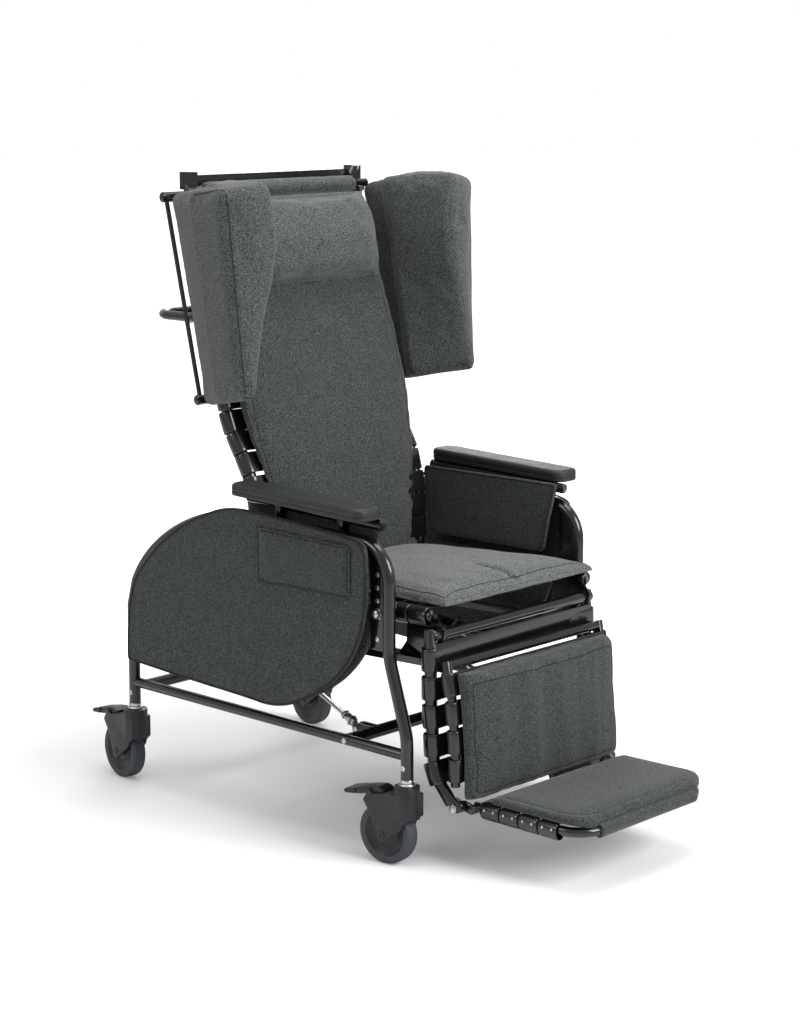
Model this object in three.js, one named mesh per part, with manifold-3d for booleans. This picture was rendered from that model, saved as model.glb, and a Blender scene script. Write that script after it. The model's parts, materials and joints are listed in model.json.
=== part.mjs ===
// A tilt in space wheelchair with a reclining back, a raising legrest, a
// footrest, padded wings, fabric side panels and four braked swivel casters.
// Millimetres. x runs to the sitter's left, y to the rear and z up.
// The seat, back and legrest tilt together about one pivot on each side hoop.

import * as THREE from 'three';
import { mergeVertices } from 'three/addons/utils/BufferGeometryUtils.js';
import Module from 'manifold-3d';

const wasm = await Module();
wasm.setup();

// Fits shared by all pieces.
const seat_gap = 0.3;            // between two pieces that rest on each other
const running_gap = 0.4;         // round a pin or rod that turns or slides
const weld_depth = 1;            // how far welded pieces run into each other
const cut_overrun = 2;           // how far a cutter runs past a face

// Tube and rod stock.
const frame_tube_radius = 12.7;
const rail_tube_radius = 11;
const light_tube_radius = 9.5;
const pin_radius = 5;
const pin_head_length = 3;
const plate_thickness = 5;
const tube_sides = 10;
const rod_sides = 8;
const pin_sides = 8;
const bend_step_degrees = 24;
const lug_root_steps = 2;
const lug_tip_steps = 5;
const corner_steps = 3;

// Leading sizes. What stands on them or lines up with them follows.
const wheel_radius = 62.5;
const wheelbase = 818;
const seat_tube_half_width = 238;

// Casters.
const wheel_width = 32;
const wheel_trail = 46;
const wheel_steps = 16;
const hood_sides = 10;
const cavity_sides = 10;
const hole_sides = 6;
const axle_radius = 5;
const tread_depth = 17.5;
const rim_radius = wheel_radius - tread_depth;
const wheel_recess = 7;
const tyre_shoulder = 5;
const wheel_clearance = 2.5;
const fork_wall = 5.5;
const fork_half_width = wheel_width / 2 + wheel_clearance + fork_wall;
const fork_hood_radius = 26.5;
const fork_leg_drop = 18.5;
const fork_foot_height = wheel_radius - fork_leg_drop;
const fork_deck_clearance = 25;
const fork_deck_height = wheel_radius * 2 + fork_deck_clearance;
const fork_hood_drop = 50;
const fork_hood_foot = fork_deck_height - fork_hood_drop;
const fork_hood_rise = 15;
const fork_top_height = fork_deck_height + fork_hood_rise;
const fork_ring_radius = 15;
const fork_ring_height = 5;
const fork_reach_back = 22;
const fork_nose = 46;
const fork_reach = fork_reach_back + wheel_trail + fork_nose;
const fork_shares = [
  [0, 1], [0, 0.566], [0.126, 0.453], [0.168, 0.34], [0.546, 0.038], [0.613, 0], [0.681, 0.057], [0.731, 0.208],
  [0.832, 0.509], [1, 0.783], [0.933, 0.887], [0.479, 1],
];
const stem_radius = 10;
const stem_length = 38;
const stem_gap = 0.9;
const stem_clearance = 2.5;
const pedal_pivot_run = 34;
const pedal_pivot_setback = wheel_trail + pedal_pivot_run;
const pedal_pivot_drop = 6;
const pedal_pivot_height = fork_deck_height - pedal_pivot_drop;
const pedal_pin_radius = 3;
const pedal_ear_radius = 7;
const pedal_ear_run = 14;
const pedal_ear_root_setback = pedal_pivot_setback - pedal_ear_run;
const pedal_ear_drop = 15;
const pedal_ear_root_height = pedal_pivot_height - pedal_ear_drop;
const pedal_inset = 6;
const pedal_half_width = fork_half_width - pedal_inset;
const pedal_toe_flare = 3;
const pedal_toe_half_width = pedal_half_width + pedal_toe_flare;
const pedal_clearance = 1.5;
const pedal_toe_share = 0.72;
const pedal_heel_run = 36;
const pedal_setback = pedal_pivot_setback - pedal_heel_run;
const pedal_length = 98;
const pedal_foot_drop = 13;
const pedal_foot_height = pedal_pivot_height - pedal_foot_drop;
const pedal_height = 25;
const pedal_shares = [
  [0, 0.45], [0.12, 0.4], [0.3, 0.3], [0.45, 0.3], [0.6, 0.14], [0.97, 0], [1, 0.1], [0.99, 0.3],
  [0.6, 0.68], [0.4, 0.86], [0.16, 1], [0.03, 0.86],
];
const front_caster_turn_degrees = 6;
const rear_caster_turn_degrees = -7;

// Side hoops and what joins them.
const hoop_side_room = 52;
const hoop_half_width = seat_tube_half_width + hoop_side_room;
const frame_foot_height = fork_top_height + fork_ring_height + stem_clearance;
const rail_rise = 53.5;
const rail_height = frame_foot_height + rail_rise;
const kick_start_rise = 35;
const kick_start_height = rail_height + kick_start_rise;
const kick_rise = 155;
const kick_end_height = kick_start_height + kick_rise;
const kick_bend_radius = 110;
const upright_setback = 48;
const hoop_rise = 465.5;
const hoop_height = frame_foot_height + hoop_rise;
const hoop_front_bend_radius = 75;
const hoop_fall_run = 346;
const hoop_fall_start = wheelbase - hoop_fall_run;
const hoop_fall_drop = 238;
const hoop_shoulder_height = hoop_height - hoop_fall_drop;
const hoop_fall_steps = 6;
const front_cross_setback = 163;
const rear_cross_inset = 43;
const rear_cross_setback = wheelbase - rear_cross_inset;

// Pivot plate welded behind each front upright.
const plate_seating = 1.7;
const plate_width = 38;
const plate_front_setback = upright_setback + frame_tube_radius - plate_seating;
const pivot_setback = plate_front_setback + plate_width / 2;
const pivot_drop = 139;
const pivot_height = hoop_height - pivot_drop;
const pivot_pin_radius = 8;
const pivot_head_radius = 12;
const pivot_head_length = 6;
const plate_drop = 74;
const plate_foot_height = pivot_height - plate_drop;
const plate_top_gap = 21;
const plate_top_height = hoop_height - plate_top_gap;
const plate_hole_radius = 4;
const plate_hole_pitch = 26;
const plate_holes_above = 4;
const plate_holes_below = 2;

// Fabric side panels, as D outlines in the side view.
const panel_front_run = 38;
const panel_front_setback = upright_setback + panel_front_run;
const panel_rear_gap = 12;
const panel_length = wheelbase - panel_rear_gap - panel_front_setback;
const panel_rise = 38;
const panel_foot_height = rail_height + panel_rise;
const panel_top_rise = 26;
const panel_height = hoop_height + panel_top_rise - panel_foot_height;
const panel_thickness = 15;
const panel_piping = 3;
const inner_panel_thickness = 10;
const inner_panel_height = 250;
const inner_panel_overrun = 14;
const inner_panel_length = panel_length + inner_panel_overrun;
const inner_panel_clearance = 2;
const panel_top_shares = [
  [0.014, 0.95], [0.13, 0.967], [0.254, 0.98], [0.39, 0.992], [0.499, 1], [0.57, 0.985], [0.639, 0.94],
  [0.715, 0.885], [0.781, 0.81], [0.845, 0.732], [0.896, 0.645], [0.94, 0.56], [0.967, 0.487], [0.987, 0.37],
  [0.997, 0.24], [1, 0.05],
];
const panel_foot_shares = [[0.715, 0.025], [0.467, 0.012], [0.383, 0], [0.301, 0.03], [0.235, 0.085]];
const panel_front_shares = [
  [0.181, 0.14], [0.121, 0.22], [0.063, 0.333], [0.024, 0.47], [0.004, 0.62], [0, 0.76], [0.003, 0.88],
];
const pocket_length = 262;
const pocket_height = 112;
const pocket_thickness = 4;
const pocket_edge = 1;
const pocket_run = 39;
const pocket_setback = panel_front_setback + pocket_run;
const pocket_drop = 141;
const pocket_foot_height = panel_foot_height + panel_height - pocket_drop;
const pocket_shares = [[0, 0.04], [1, 0], [1, 1], [0, 0.95]];

// Arms.
const arm_tube_inset = 12;
const arm_tube_half_width = hoop_half_width - arm_tube_inset;
const arm_tube_rise = 34;
const arm_tube_height = hoop_height + arm_tube_rise;
const arm_front_run = 30;
const arm_front_setback = upright_setback + arm_front_run;
const arm_tube_length = 376;
const arm_rise = 10;
const arm_pad_width = 67;
const arm_pad_thickness = 26;
const arm_pad_edge = 5;
const arm_pad_offset = 25.5;
const arm_pad_lead = 4;
const arm_pad_setback = arm_front_setback + arm_pad_lead;
const arm_pad_corner = 20;
const arm_post_shares = [0.2766, 0.7473];
const arm_post_width = 14;
const arm_post_depth = 17;
const arm_post_inset = 16;
const arm_post_half_width = hoop_half_width - arm_post_inset;
const arm_panel_inset = 12;
const arm_panel_half_width = arm_tube_half_width - arm_panel_inset;
const arm_panel_thickness = 13;
const arm_panel_edge = 3;
const arm_panel_run = 10;
const arm_panel_front_setback = arm_front_setback + arm_panel_run;
const arm_panel_overrun = 2;
const arm_panel_length = arm_tube_length + arm_panel_overrun;
const arm_panel_drop = 142;
const arm_panel_foot_height = arm_tube_height - arm_panel_drop;
const arm_panel_height = 150;
const arm_panel_shares = [[0, 0.97], [0.05, 0.5], [0.085, 0.06], [0.11, 0], [0.93, 0], [0.96, 0.06], [1, 1]];

// Seat frame. Its heights follow the tilt pivot.
const seat_tube_front = -19;
const seat_front_rise = 1;
const seat_tube_front_height = pivot_height + seat_front_rise;
const seat_tube_length = 451;
const seat_tube_rear = seat_tube_front + seat_tube_length;
const seat_rear_drop = 20;
const seat_tube_rear_height = pivot_height - seat_rear_drop;
const recline_pivot_run = 30;
const recline_pivot_setback = seat_tube_rear + recline_pivot_run;
const recline_pivot_rise = 6;
const recline_pivot_height = pivot_height + recline_pivot_rise;
const seat_rail_inset = 5;
const seat_rail_half_width = seat_tube_half_width - seat_rail_inset;
const seat_rail_width = 14;
const seat_rail_depth = 14;
const seat_rail_run = 21;
const seat_rail_front = seat_tube_front + seat_rail_run;
const seat_rail_front_drop = 95;
const seat_rail_front_height = pivot_height - seat_rail_front_drop;
const seat_rail_reach = 112;
const seat_rail_rear = recline_pivot_setback + seat_rail_reach;
const seat_rail_fall = 20;
const seat_rail_rear_height = seat_rail_front_height - seat_rail_fall;
const seat_plate_inset = 15;
const seat_plate_half_width = seat_tube_half_width - seat_plate_inset;
const seat_plate_thickness = 6;
const seat_plate_reach = 24;
const seat_plate_front = seat_tube_front - seat_plate_reach;
const seat_plate_foot_gap = 4;
const seat_plate_foot = seat_rail_front_height - seat_rail_depth / 2 - seat_plate_foot_gap;
const seat_plate_length = 138;
const seat_plate_height = 112;
const seat_plate_shares = [
  [0.015, 0.7], [0.015, 0.58], [0.05, 0.515], [0.13, 0.48], [0.21, 0.515], [0.37, 0.42], [0.37, 0.03], [1, 0],
  [0.76, 0.38], [0.73, 1], [0.24, 1],
];
const recline_plate_run = 57;
const recline_plate_front = recline_pivot_setback - recline_plate_run;
const recline_plate_drop = 127;
const recline_plate_foot = recline_pivot_height - recline_plate_drop;
const recline_plate_length = 72;
const recline_plate_height = 160;
const recline_plate_shares = [
  [0, 0], [0.76, 0], [1, 0.68], [1.03, 0.79], [0.96, 0.87], [0.79, 0.9], [0.61, 0.87], [0.49, 0.75], [0, 0.71],
];
const pivot_boss_radius = 15;
const seat_front_cross_run = 59;
const seat_front_cross_setback = seat_tube_front + seat_front_cross_run;
const seat_front_cross_rise = 5;
const seat_front_cross_height = seat_rail_front_height + seat_front_cross_rise;
const seat_rear_cross_run = 44;
const seat_rear_cross_setback = recline_pivot_setback - seat_rear_cross_run;
const seat_rear_cross_drop = 6;
const seat_rear_cross_height = seat_rail_front_height - seat_rear_cross_drop;

// Straps wound round the tubes, as eyes joined by one layer.
const strap_thickness = 3;
const strap_width = 46;
const strap_wrap_degrees = 250;
const strap_hook_steps = 5;
const strap_link_thickness = 1.6;
const seat_strap_pitch = 50;
const seat_strap_start = 30;
const back_strap_pitch = 49;
const back_strap_start = 57;
const back_strap_end = 83;
const legrest_strap_pitch = 57;
const legrest_strap_start = 60;
const legrest_strap_end = 39;
const calf_strap_pitch = 57;
const calf_strap_start = 45;
const calf_strap_end = 23;
const footrest_strap_pitch = 49;
const footrest_strap_start = 44;
const footrest_strap_end = 52;
const seat_strap_end = 46;

// Seat cushion.
const cushion_front_reach = 28;
const cushion_front = seat_tube_front - cushion_front_reach;
const cushion_rear_gap = 11;
const cushion_length = seat_tube_rear - cushion_rear_gap - cushion_front;
const cushion_front_inset = 2;
const cushion_front_half_width = seat_tube_half_width - cushion_front_inset;
const cushion_rear_inset = 42;
const cushion_rear_half_width = seat_tube_half_width - cushion_rear_inset;
const cushion_edge_thickness = 15;
const cushion_swell = 22;
const cushion_slit_depth = 20;
const cushion_slit_length = 150;
const cushion_slit_half_width = 9;
const cushion_station_shares = [0, 0.02, 0.06, 0.14, 0.24, 0.31, 0.36, 0.5, 0.66, 0.82, 0.94, 1];
const cushion_side_shares = [0.3, 0.6, 0.85, 0.97, 1];
const cushion_under_shares = [1, 0.97, 0.5, 0, -0.5, -0.97];
const cushion_front_roll_share = 0.22;
const cushion_rear_roll_share = 0.12;
const cushion_side_top_share = 0.5;
const cushion_side_foot_share = 0.3;
const cushion_slit_end_share = 0.25;
const cushion_slit_depth_share = 0.6;

// Tilt and recline gas springs, whose parts are shares of the distance between their eyes.
const tilt_spring_inset = 12;
const tilt_spring_half_width = seat_plate_half_width - tilt_spring_inset;
const tilt_anchor_run = 42;
const tilt_anchor_setback = front_cross_setback + tilt_anchor_run;
const tilt_eye_inset = 14;
const tilt_eye_setback = seat_rail_rear - tilt_eye_inset;
const spring_eye_radius = 10;
const spring_eye_width = 12;
const spring_body_radius = 14;
const spring_rod_radius = 5;
const tilt_spring_body_share = 0.5273;
const tilt_spring_rod_share = 0.5453;
const spring_head_length = 16;
const spring_wall = 8;
const lug_radius = 12;
const lug_thickness = 5;
const recline_anchor_run = 38;
const recline_anchor_setback = seat_front_cross_setback + recline_anchor_run;
const recline_spring_body_share = 0.5666;
const recline_spring_rod_share = 0.4834;
const recline_lever_drop = 72;
const spring_steps = 12;

// Back frame, as a path in the side view from the recline pivot up.
const back_side_room = 4;
const back_half_width = seat_tube_half_width + back_side_room;
const back_foot_drop = 14;
const back_rise = 803;
const back_run = 205;
const back_knee_run_share = 0.0195;
const back_knee_rise_share = 0.1582;
const back_waist_run_share = 0.1317;
const back_waist_rise_share = 0.2653;
const back_shoulder_run_share = 0.4488;
const back_shoulder_rise_share = 0.3973;
const back_shoulder_setback = recline_pivot_setback + back_run * back_shoulder_run_share;
const back_shoulder_height = recline_pivot_height + back_rise * back_shoulder_rise_share;
const back_top_setback = recline_pivot_setback + back_run;
const back_top_height = recline_pivot_height + back_rise;
const back_bend_radius = 150;
const back_low_cross_rise = 55;
const back_low_cross_height = recline_pivot_height + back_low_cross_rise;
const back_mid_cross_rise = 76;
const back_mid_cross_height = back_shoulder_height + back_mid_cross_rise;
const roll_drop = 11;
const roll_height = back_top_height - roll_drop;
const roll_offset = 18.43;
const roll_radius = 20;
const roll_inset = 20;
const roll_half_length = back_half_width - roll_inset;
const roll_edge = 3;
const roll_tube_overrun = 20;
const roll_tube_reach = back_half_width + roll_tube_overrun;
const push_bar_drop = 273;
const push_bar_height = back_top_height - push_bar_drop;
const push_bar_depth = 95;
const push_bar_reach = back_top_setback + push_bar_depth;
const push_bar_side_room = 16;
const push_bar_half_width = back_half_width + push_bar_side_room;
const push_bar_radius = 10;
const push_bar_bend_radius = 42;
const top_bar_rise = 6;
const top_bar_height = back_top_height + top_bar_rise;
const top_bar_depth = 26;
const top_bar_thickness = 6;
const top_block_width = 20;
const top_block_depth = 34;
const top_block_height = 36;
const top_block_drop = 9;
const top_block_foot_height = back_top_height - top_block_drop;

// Back pad and head pillow. A row of the pad's shares is its height, thickness and half width.
const back_pad_foot_drop = 5;
const back_pad_foot_height = recline_pivot_height - back_pad_foot_drop;
const back_pad_top_gap = 36;
const back_pad_height = back_top_height - back_pad_top_gap - back_pad_foot_height;
const back_pad_thickness = 51;
const back_pad_shares = [
  [0, 0.2367, 0.7603],
  [0.0078, 0.3381, 0.7769],
  [0.0777, 0.3289, 0.8099],
  [0.1295, 0.253, 0.8471],
  [0.1813, 0.2001, 0.8843],
  [0.2332, 0.2349, 0.9174],
  [0.285, 0.3109, 0.9504],
  [0.3303, 0.4998, 0.9793],
  [0.3756, 0.7269, 1.0],
  [0.4275, 0.9497, 1.0207],
  [0.4793, 0.9819, 1.0289],
  [0.6218, 0.9954, 1.0041],
  [0.7642, 0.9891, 0.9421],
  [0.9067, 0.9241, 0.8843],
  [0.987, 0.8942, 0.8512],
  [1, 0.685, 0.8347],
];
const back_pad_edge = 7.2;
const back_pad_clearance = 2.2;
const back_pad_least_thickness = 3;
const back_pad_end_share = 0.35;
const back_pad_rear_shares = [1, 0.89, 0.4, -0.4, -0.89, -1];
const back_pad_side_depth = 16;
const back_pad_across_shares = [-1, -0.97, -0.86, -0.6, -0.25, 0.25, 0.6, 0.86, 0.97, 1];
const pillow_height = 192;
const pillow_top_gap = 20;
const pillow_foot_height = back_top_height - pillow_top_gap - pillow_height;
const pillow_thickness = 44;
const pillow_edge = 8;
const pillow_inset = 42;
const pillow_half_width = back_half_width - pillow_inset;
const pillow_clearance = 0.5;
const pillow_waist_share = 0.6;
const pillow_rear_shares = [0.96, 0, -0.96];
const pillow_station_shares = [0, 0.05, 0.2, 0.5, 0.8, 0.95, 1];
const pillow_across_shares = [-1, -0.95, -0.7, 0, 0.7, 0.95, 1];

// Wings and the bars and rods that carry them. Places are set out from the back frame.
const wing_low_bar_rise = 46;
const wing_low_bar_height = back_shoulder_height + wing_low_bar_rise;
const wing_high_bar_drop = 24;
const wing_high_bar_height = back_top_height - wing_high_bar_drop;
const wing_bar_overrun = 52;
const wing_bar_reach = back_half_width + wing_bar_overrun;
const wing_rod_inset = 9;
const wing_rod_half_width = wing_bar_reach - wing_rod_inset;
const wing_bar_seating = 1.2;
const wing_low_reach = 169;
const wing_low_front = back_shoulder_setback - wing_low_reach;
const wing_high_reach = 253;
const wing_high_front = back_top_setback - wing_high_reach;
const wing_low_splay = 107;
const wing_low_out = back_half_width + wing_low_splay;
const wing_high_splay = 127;
const wing_high_out = back_half_width + wing_high_splay;
const wing_low_root_run = 46;
const wing_low_root = back_shoulder_setback - wing_low_root_run;
const wing_high_root_run = 87;
const wing_high_root = back_top_setback - wing_high_root_run;
const wing_low_root_room = 12;
const wing_low_root_in = back_half_width + wing_low_root_room;
const wing_high_root_inset = 10;
const wing_high_root_in = back_half_width - wing_high_root_inset;
const wing_notch_room = 20;
const wing_notch_in = back_half_width + wing_notch_room;
const wing_foot_drop = 10;
const wing_low_height = wing_low_bar_height - wing_foot_drop;
const wing_low_front_rise = 34;
const wing_head_rise = 2;
const wing_high_height = wing_high_bar_height + wing_head_rise;
const wing_high_front_rise = 30;
const wing_inner_rise = 14;
const wing_edge_draw = 9;
const wing_rear_clearance = 9;
const wing_face_width = 106;
const wing_ridge_lead = 34;
const wing_station_shares = [
  { share: 0, face: 0.226, lead: 0.148, size: 0.88 },
  { share: 0.02, face: 0.264, lead: 0.185, size: 1 },
  { share: 0.1, face: 0.34, lead: 0.222, size: 1 },
  { share: 0.24, face: 0.491, lead: 0.296, size: 1 },
  { share: 0.38, face: 0.66, lead: 0.407, size: 1 },
  { share: 0.54, face: 0.868, lead: 0.741, size: 1 },
  { share: 0.7, face: 0.991, lead: 1, size: 1 },
  { share: 0.88, face: 1, lead: 0.963, size: 1 },
  { share: 0.96, face: 0.962, lead: 0.815, size: 1 },
  { share: 0.985, face: 0.943, lead: 0.778, size: 0.96 },
  { share: 1, face: 0.915, lead: 0.741, size: 0.86 },
];
const wing_side_shares = [0.5, 0.45];
const wing_corner_share = 0.06;
const wing_face_share = 0.55;
const wing_ridge_share = 0.88;
const wing_inner_shares = [0.45, 0.42];
const wing_root_share = 0.08;

// Legrest and calf frame. Rows of shares are places from the legrest pivot, of the drop to the toe.
const legrest_side_room = 2;
const legrest_half_width = seat_tube_half_width + legrest_side_room;
const legrest_pivot_run = 6;
const legrest_pivot_setback = seat_tube_front - legrest_pivot_run;
const legrest_pivot_drop = 36;
const legrest_pivot_height = pivot_height - legrest_pivot_drop;
const legrest_drop = 329;
const legrest_toe_run = 47;
const legrest_toe_setback = legrest_pivot_setback - legrest_toe_run;
const legrest_toe_height = legrest_pivot_height - legrest_drop;
const legrest_shares = [[0.0304, 0.0334], [0.0243, -0.3951], [-0.003, -0.842]];
const legrest_bend_radius = 60;
const legrest_bar_height = 35;
const legrest_bar_thickness = 4;
const legrest_bar_drop = 17;
const legrest_bar_top_height = legrest_pivot_height - legrest_bar_drop;
const calf_inset = 5;
const calf_half_width = legrest_half_width - calf_inset;
const calf_shares = [[-0.0851, -0.1459], [-0.1307, -0.3708], [-0.1641, -0.7325], [-0.1611, -0.8967]];
const calf_block_depth = 18;
const calf_block_width = 14;
const calf_tie_seating = 1.8;
const calf_top_tie_drop = 14.4;
const calf_foot_tie_rise = 18;
const calf_pad_inset = 19;
const calf_pad_half_width = legrest_half_width - calf_pad_inset;
const calf_pad_top_drop = 18;
const calf_pad_foot_drop = 10;
const calf_pad_top_lead = 55;
const calf_pad_foot_lead = 52;
const calf_pad_edge = 9;
const calf_pad_clearance = 1.2;
const calf_pad_fold = 2.5;
const calf_pad_fold_count = 4;
const calf_pad_end_share = 0.3;
const calf_pad_rear_shares = [1, 0.96, 0, -0.96, -1];
const calf_pad_station_shares = [0, 0.03, 0.12, 0.3, 0.55, 0.8, 0.95, 1];
const calf_pad_across_shares = [-1, -0.97, -0.88, -0.66, -0.44, -0.22, 0, 0.22, 0.44, 0.66, 0.88, 0.97, 1];

// Footrest.
const footrest_pivot_run = 13;
const footrest_pivot_setback = legrest_toe_setback - footrest_pivot_run;
const footrest_pivot_drop = 6;
const footrest_pivot_height = legrest_toe_height - footrest_pivot_drop;
const footrest_inset = 43;
const footrest_half_width = legrest_half_width - footrest_inset;
const footrest_drop = 4.5;
const footrest_height = footrest_pivot_height - footrest_drop;
const footrest_rail_run = 13;
const footrest_rear = footrest_pivot_setback - footrest_rail_run;
const footrest_length = 268;
const footrest_front = footrest_rear - footrest_length;
const footrest_corner_radius = 57;
const footrest_tube_radius = 10;
const footrest_rail_radius = 9;
const footrest_lug_inset = 21;
const footrest_lug_half_width = legrest_half_width - footrest_lug_inset;
const footrest_pad_side_room = 6;
const footrest_pad_half_width = footrest_half_width + footrest_pad_side_room;
const footrest_pad_rear_gap = 39;
const footrest_pad_rear = footrest_rear - footrest_pad_rear_gap;
const footrest_pad_front_gap = 17;
const footrest_pad_front = footrest_front + footrest_pad_front_gap;
const footrest_pad_thickness = 19;
const footrest_pad_edge = 9;
const footrest_pad_corner = 44;
const footrest_pad_corner_share = 0.8;
const footrest_pad_end_share = 0.3;
const footrest_pad_under_shares = [0.97, 0, -0.97];
const footrest_pad_station_shares = [0, 0.04, 0.2, 0.6, 0.82, 0.93, 0.98, 1];
const footrest_pad_across_shares = [-1, -0.97, -0.85, -0.5, 0, 0.5, 0.85, 0.97, 1];
const sleeve_inset = 59;
const sleeve_half_length = footrest_half_width - sleeve_inset;
const sleeve_thickness = 3.4;

// Release lever under the push bar, and the release cable under the seat.
const lever_offset = -60;
const lever_drop = 24;
const lever_length = 110;
const lever_width = 12;
const lever_thickness = 5;
const lever_hub_radius = 8;
const lever_pin_radius = 3;
const cable_radius = 2.5;
const cable_sides = 6;
const cable_steps = 14;
const cable_route = [
  [-120, 40, 420.5], [-120, 38, 446], [-128, 14, 470], [-134, -4, 477], [-126, -8, 466], [-106, 0, 456],
  [-84, 16, 450], [-60, 34, 447], [-38, 52, 444], [-16, 68, 443], [-2, 78, 438], [0, 79, 419.4],
];

const right_side = -1;
const left_side = 1;

const paint = () => new THREE.MeshStandardMaterial({ color: 0x17181a, roughness: 0.35, metalness: 0.6 });
const moulding = () => new THREE.MeshStandardMaterial({ color: 0x232427, roughness: 0.55, metalness: 0 });
const fabric = () => new THREE.MeshStandardMaterial({ color: 0x4b4e52, roughness: 0.95, metalness: 0 });
const vinyl = () => new THREE.MeshStandardMaterial({ color: 0x151517, roughness: 0.3, metalness: 0 });
const tyre = () => new THREE.MeshStandardMaterial({ color: 0x54595f, roughness: 0.7, metalness: 0 });
const chrome = () => new THREE.MeshStandardMaterial({ color: 0xc4c7ca, roughness: 0.15, metalness: 1 });
const cable_jacket = () => new THREE.MeshStandardMaterial({ color: 0xa5a8ab, roughness: 0.5, metalness: 0 });

// A path held as stations, so that a sweep has rings only where they are needed.
class StationPath extends THREE.Curve {
  constructor(stations) {
    super();
    this.stations = stations;
  }

  getPoint(share, target = new THREE.Vector3()) {
    return target.copy(this.stations[Math.round(share * (this.stations.length - 1))]);
  }

  getPointAt(share, target) {
    return this.getPoint(share, target);
  }

  getTangent(share, target = new THREE.Vector3()) {
    const index = Math.round(share * (this.stations.length - 1));
    const here = this.stations[index];
    const before = this.stations[index - 1];
    const after = this.stations[index + 1];
    target.set(0, 0, 0);
    if (before) {
      target.add(here.clone().sub(before).normalize());
    }
    if (after) {
      target.add(after.clone().sub(here).normalize());
    }
    return target.normalize();
  }

  getTangentAt(share, target) {
    return this.getTangent(share, target);
  }
}

function at(x, y, z) {
  return new THREE.Vector3(x, y, z);
}

function mix(a, b, share) {
  return a + (b - a) * share;
}

function radians(degrees) {
  return THREE.MathUtils.degToRad(degrees);
}

// The y of a path of stations at a height.
function pathSetback(stations, height) {
  const rising = stations[stations.length - 1].z > stations[0].z ? stations : [...stations].reverse();
  const above = rising.findIndex((station) => station.z >= height);
  const next = above < 0 ? rising.length - 1 : Math.max(1, above);
  const [low, high] = rising.slice(next - 1, next + 1);
  return mix(low.y, high.y, (height - low.z) / (high.z - low.z));
}

// Stations along straight runs whose corners are rounded to the given radii.
function bentStations(corners, radii) {
  const stations = [corners[0]];
  for (let i = 1; i < corners.length - 1; i += 1) {
    const before = corners[i - 1].clone().sub(corners[i]).normalize();
    const after = corners[i + 1].clone().sub(corners[i]).normalize();
    const turn = Math.PI - before.angleTo(after);
    const radius = Array.isArray(radii) ? radii[i - 1] : radii;
    const run = radius * Math.tan(turn / 2);
    const centre = before.clone().add(after).normalize().multiplyScalar(Math.hypot(run, radius)).add(corners[i]);
    const first = before.clone().multiplyScalar(run).add(corners[i]).sub(centre);
    const last = after.clone().multiplyScalar(run).add(corners[i]).sub(centre);
    const count = Math.max(2, Math.round(turn / radians(bend_step_degrees)));
    for (let step = 0; step <= count; step += 1) {
      const angle = (turn * step) / count;
      const arm = first.clone().multiplyScalar(Math.sin(turn - angle) / Math.sin(turn));
      arm.add(last.clone().multiplyScalar(Math.sin(angle) / Math.sin(turn)));
      stations.push(arm.add(centre));
    }
  }
  stations.push(corners[corners.length - 1]);
  return stations;
}

function roundOutline(radius, sides = tube_sides) {
  const outline = new THREE.Shape();
  for (let i = 0; i < sides; i += 1) {
    const angle = ((i + 0.5) / sides) * Math.PI * 2;
    const method = i === 0 ? 'moveTo' : 'lineTo';
    outline[method](radius * Math.cos(angle), radius * Math.sin(angle));
  }
  outline.closePath();
  return outline;
}

// The corner radius of a bore whose flats clear a round piece by a gap.
function boreRadius(radius, gap, sides) {
  return (radius + gap) / Math.cos(Math.PI / sides);
}

function sweep(stations, radius, sides = tube_sides) {
  return new THREE.ExtrudeGeometry(roundOutline(radius, sides), {
    steps: stations.length - 1,
    bevelEnabled: false,
    extrudePath: new StationPath(stations),
  });
}

function bar(from, to, radius, sides = tube_sides) {
  return sweep([from, to], radius, sides);
}

// A round pin or tube along x, from one half width to another on one side.
function crossBar(x_from, x_to, y, z, radius, sides = tube_sides) {
  return bar(at(Math.min(x_from, x_to), y, z), at(Math.max(x_from, x_to), y, z), radius, sides);
}

function shapeOf(points) {
  return new THREE.Shape(points.map(([a, b]) => new THREE.Vector2(a, b)));
}

function scaled(shares, origin_a, origin_b, size_a, size_b) {
  return shares.map(([a, b]) => [origin_a + a * size_a, origin_b + b * size_b]);
}

// A flat plate whose outline lies in the side view, between two x places.
function sidePlate(points, x_from, x_to, edge = 0) {
  const low = Math.min(x_from, x_to);
  const thickness = Math.abs(x_to - x_from);
  const geometry = new THREE.ExtrudeGeometry(shapeOf(points), {
    depth: thickness - edge * 2,
    bevelEnabled: edge > 0,
    bevelThickness: edge,
    bevelSize: edge,
    bevelOffset: -edge,
    bevelSegments: 1,
  });
  geometry.applyMatrix4(new THREE.Matrix4().makeBasis(at(0, 1, 0), at(0, 0, 1), at(1, 0, 0)));
  return geometry.translate(low + edge, 0, 0);
}

// A flat plate whose outline lies in the plan view, between two heights.
function planPlate(points, z_from, z_to, edge = 0) {
  const geometry = new THREE.ExtrudeGeometry(shapeOf(points), {
    depth: z_to - z_from - edge * 2,
    bevelEnabled: edge > 0,
    bevelThickness: edge,
    bevelSize: edge,
    bevelOffset: -edge,
    bevelSegments: 1,
  });
  return geometry.translate(0, 0, z_from + edge);
}

function block(x_from, x_to, y_from, y_to, z_from, z_to) {
  const geometry = new THREE.BoxGeometry(Math.abs(x_to - x_from), Math.abs(y_to - y_from), Math.abs(z_to - z_from));
  return geometry.translate((x_from + x_to) / 2, (y_from + y_to) / 2, (z_from + z_to) / 2);
}

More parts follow.
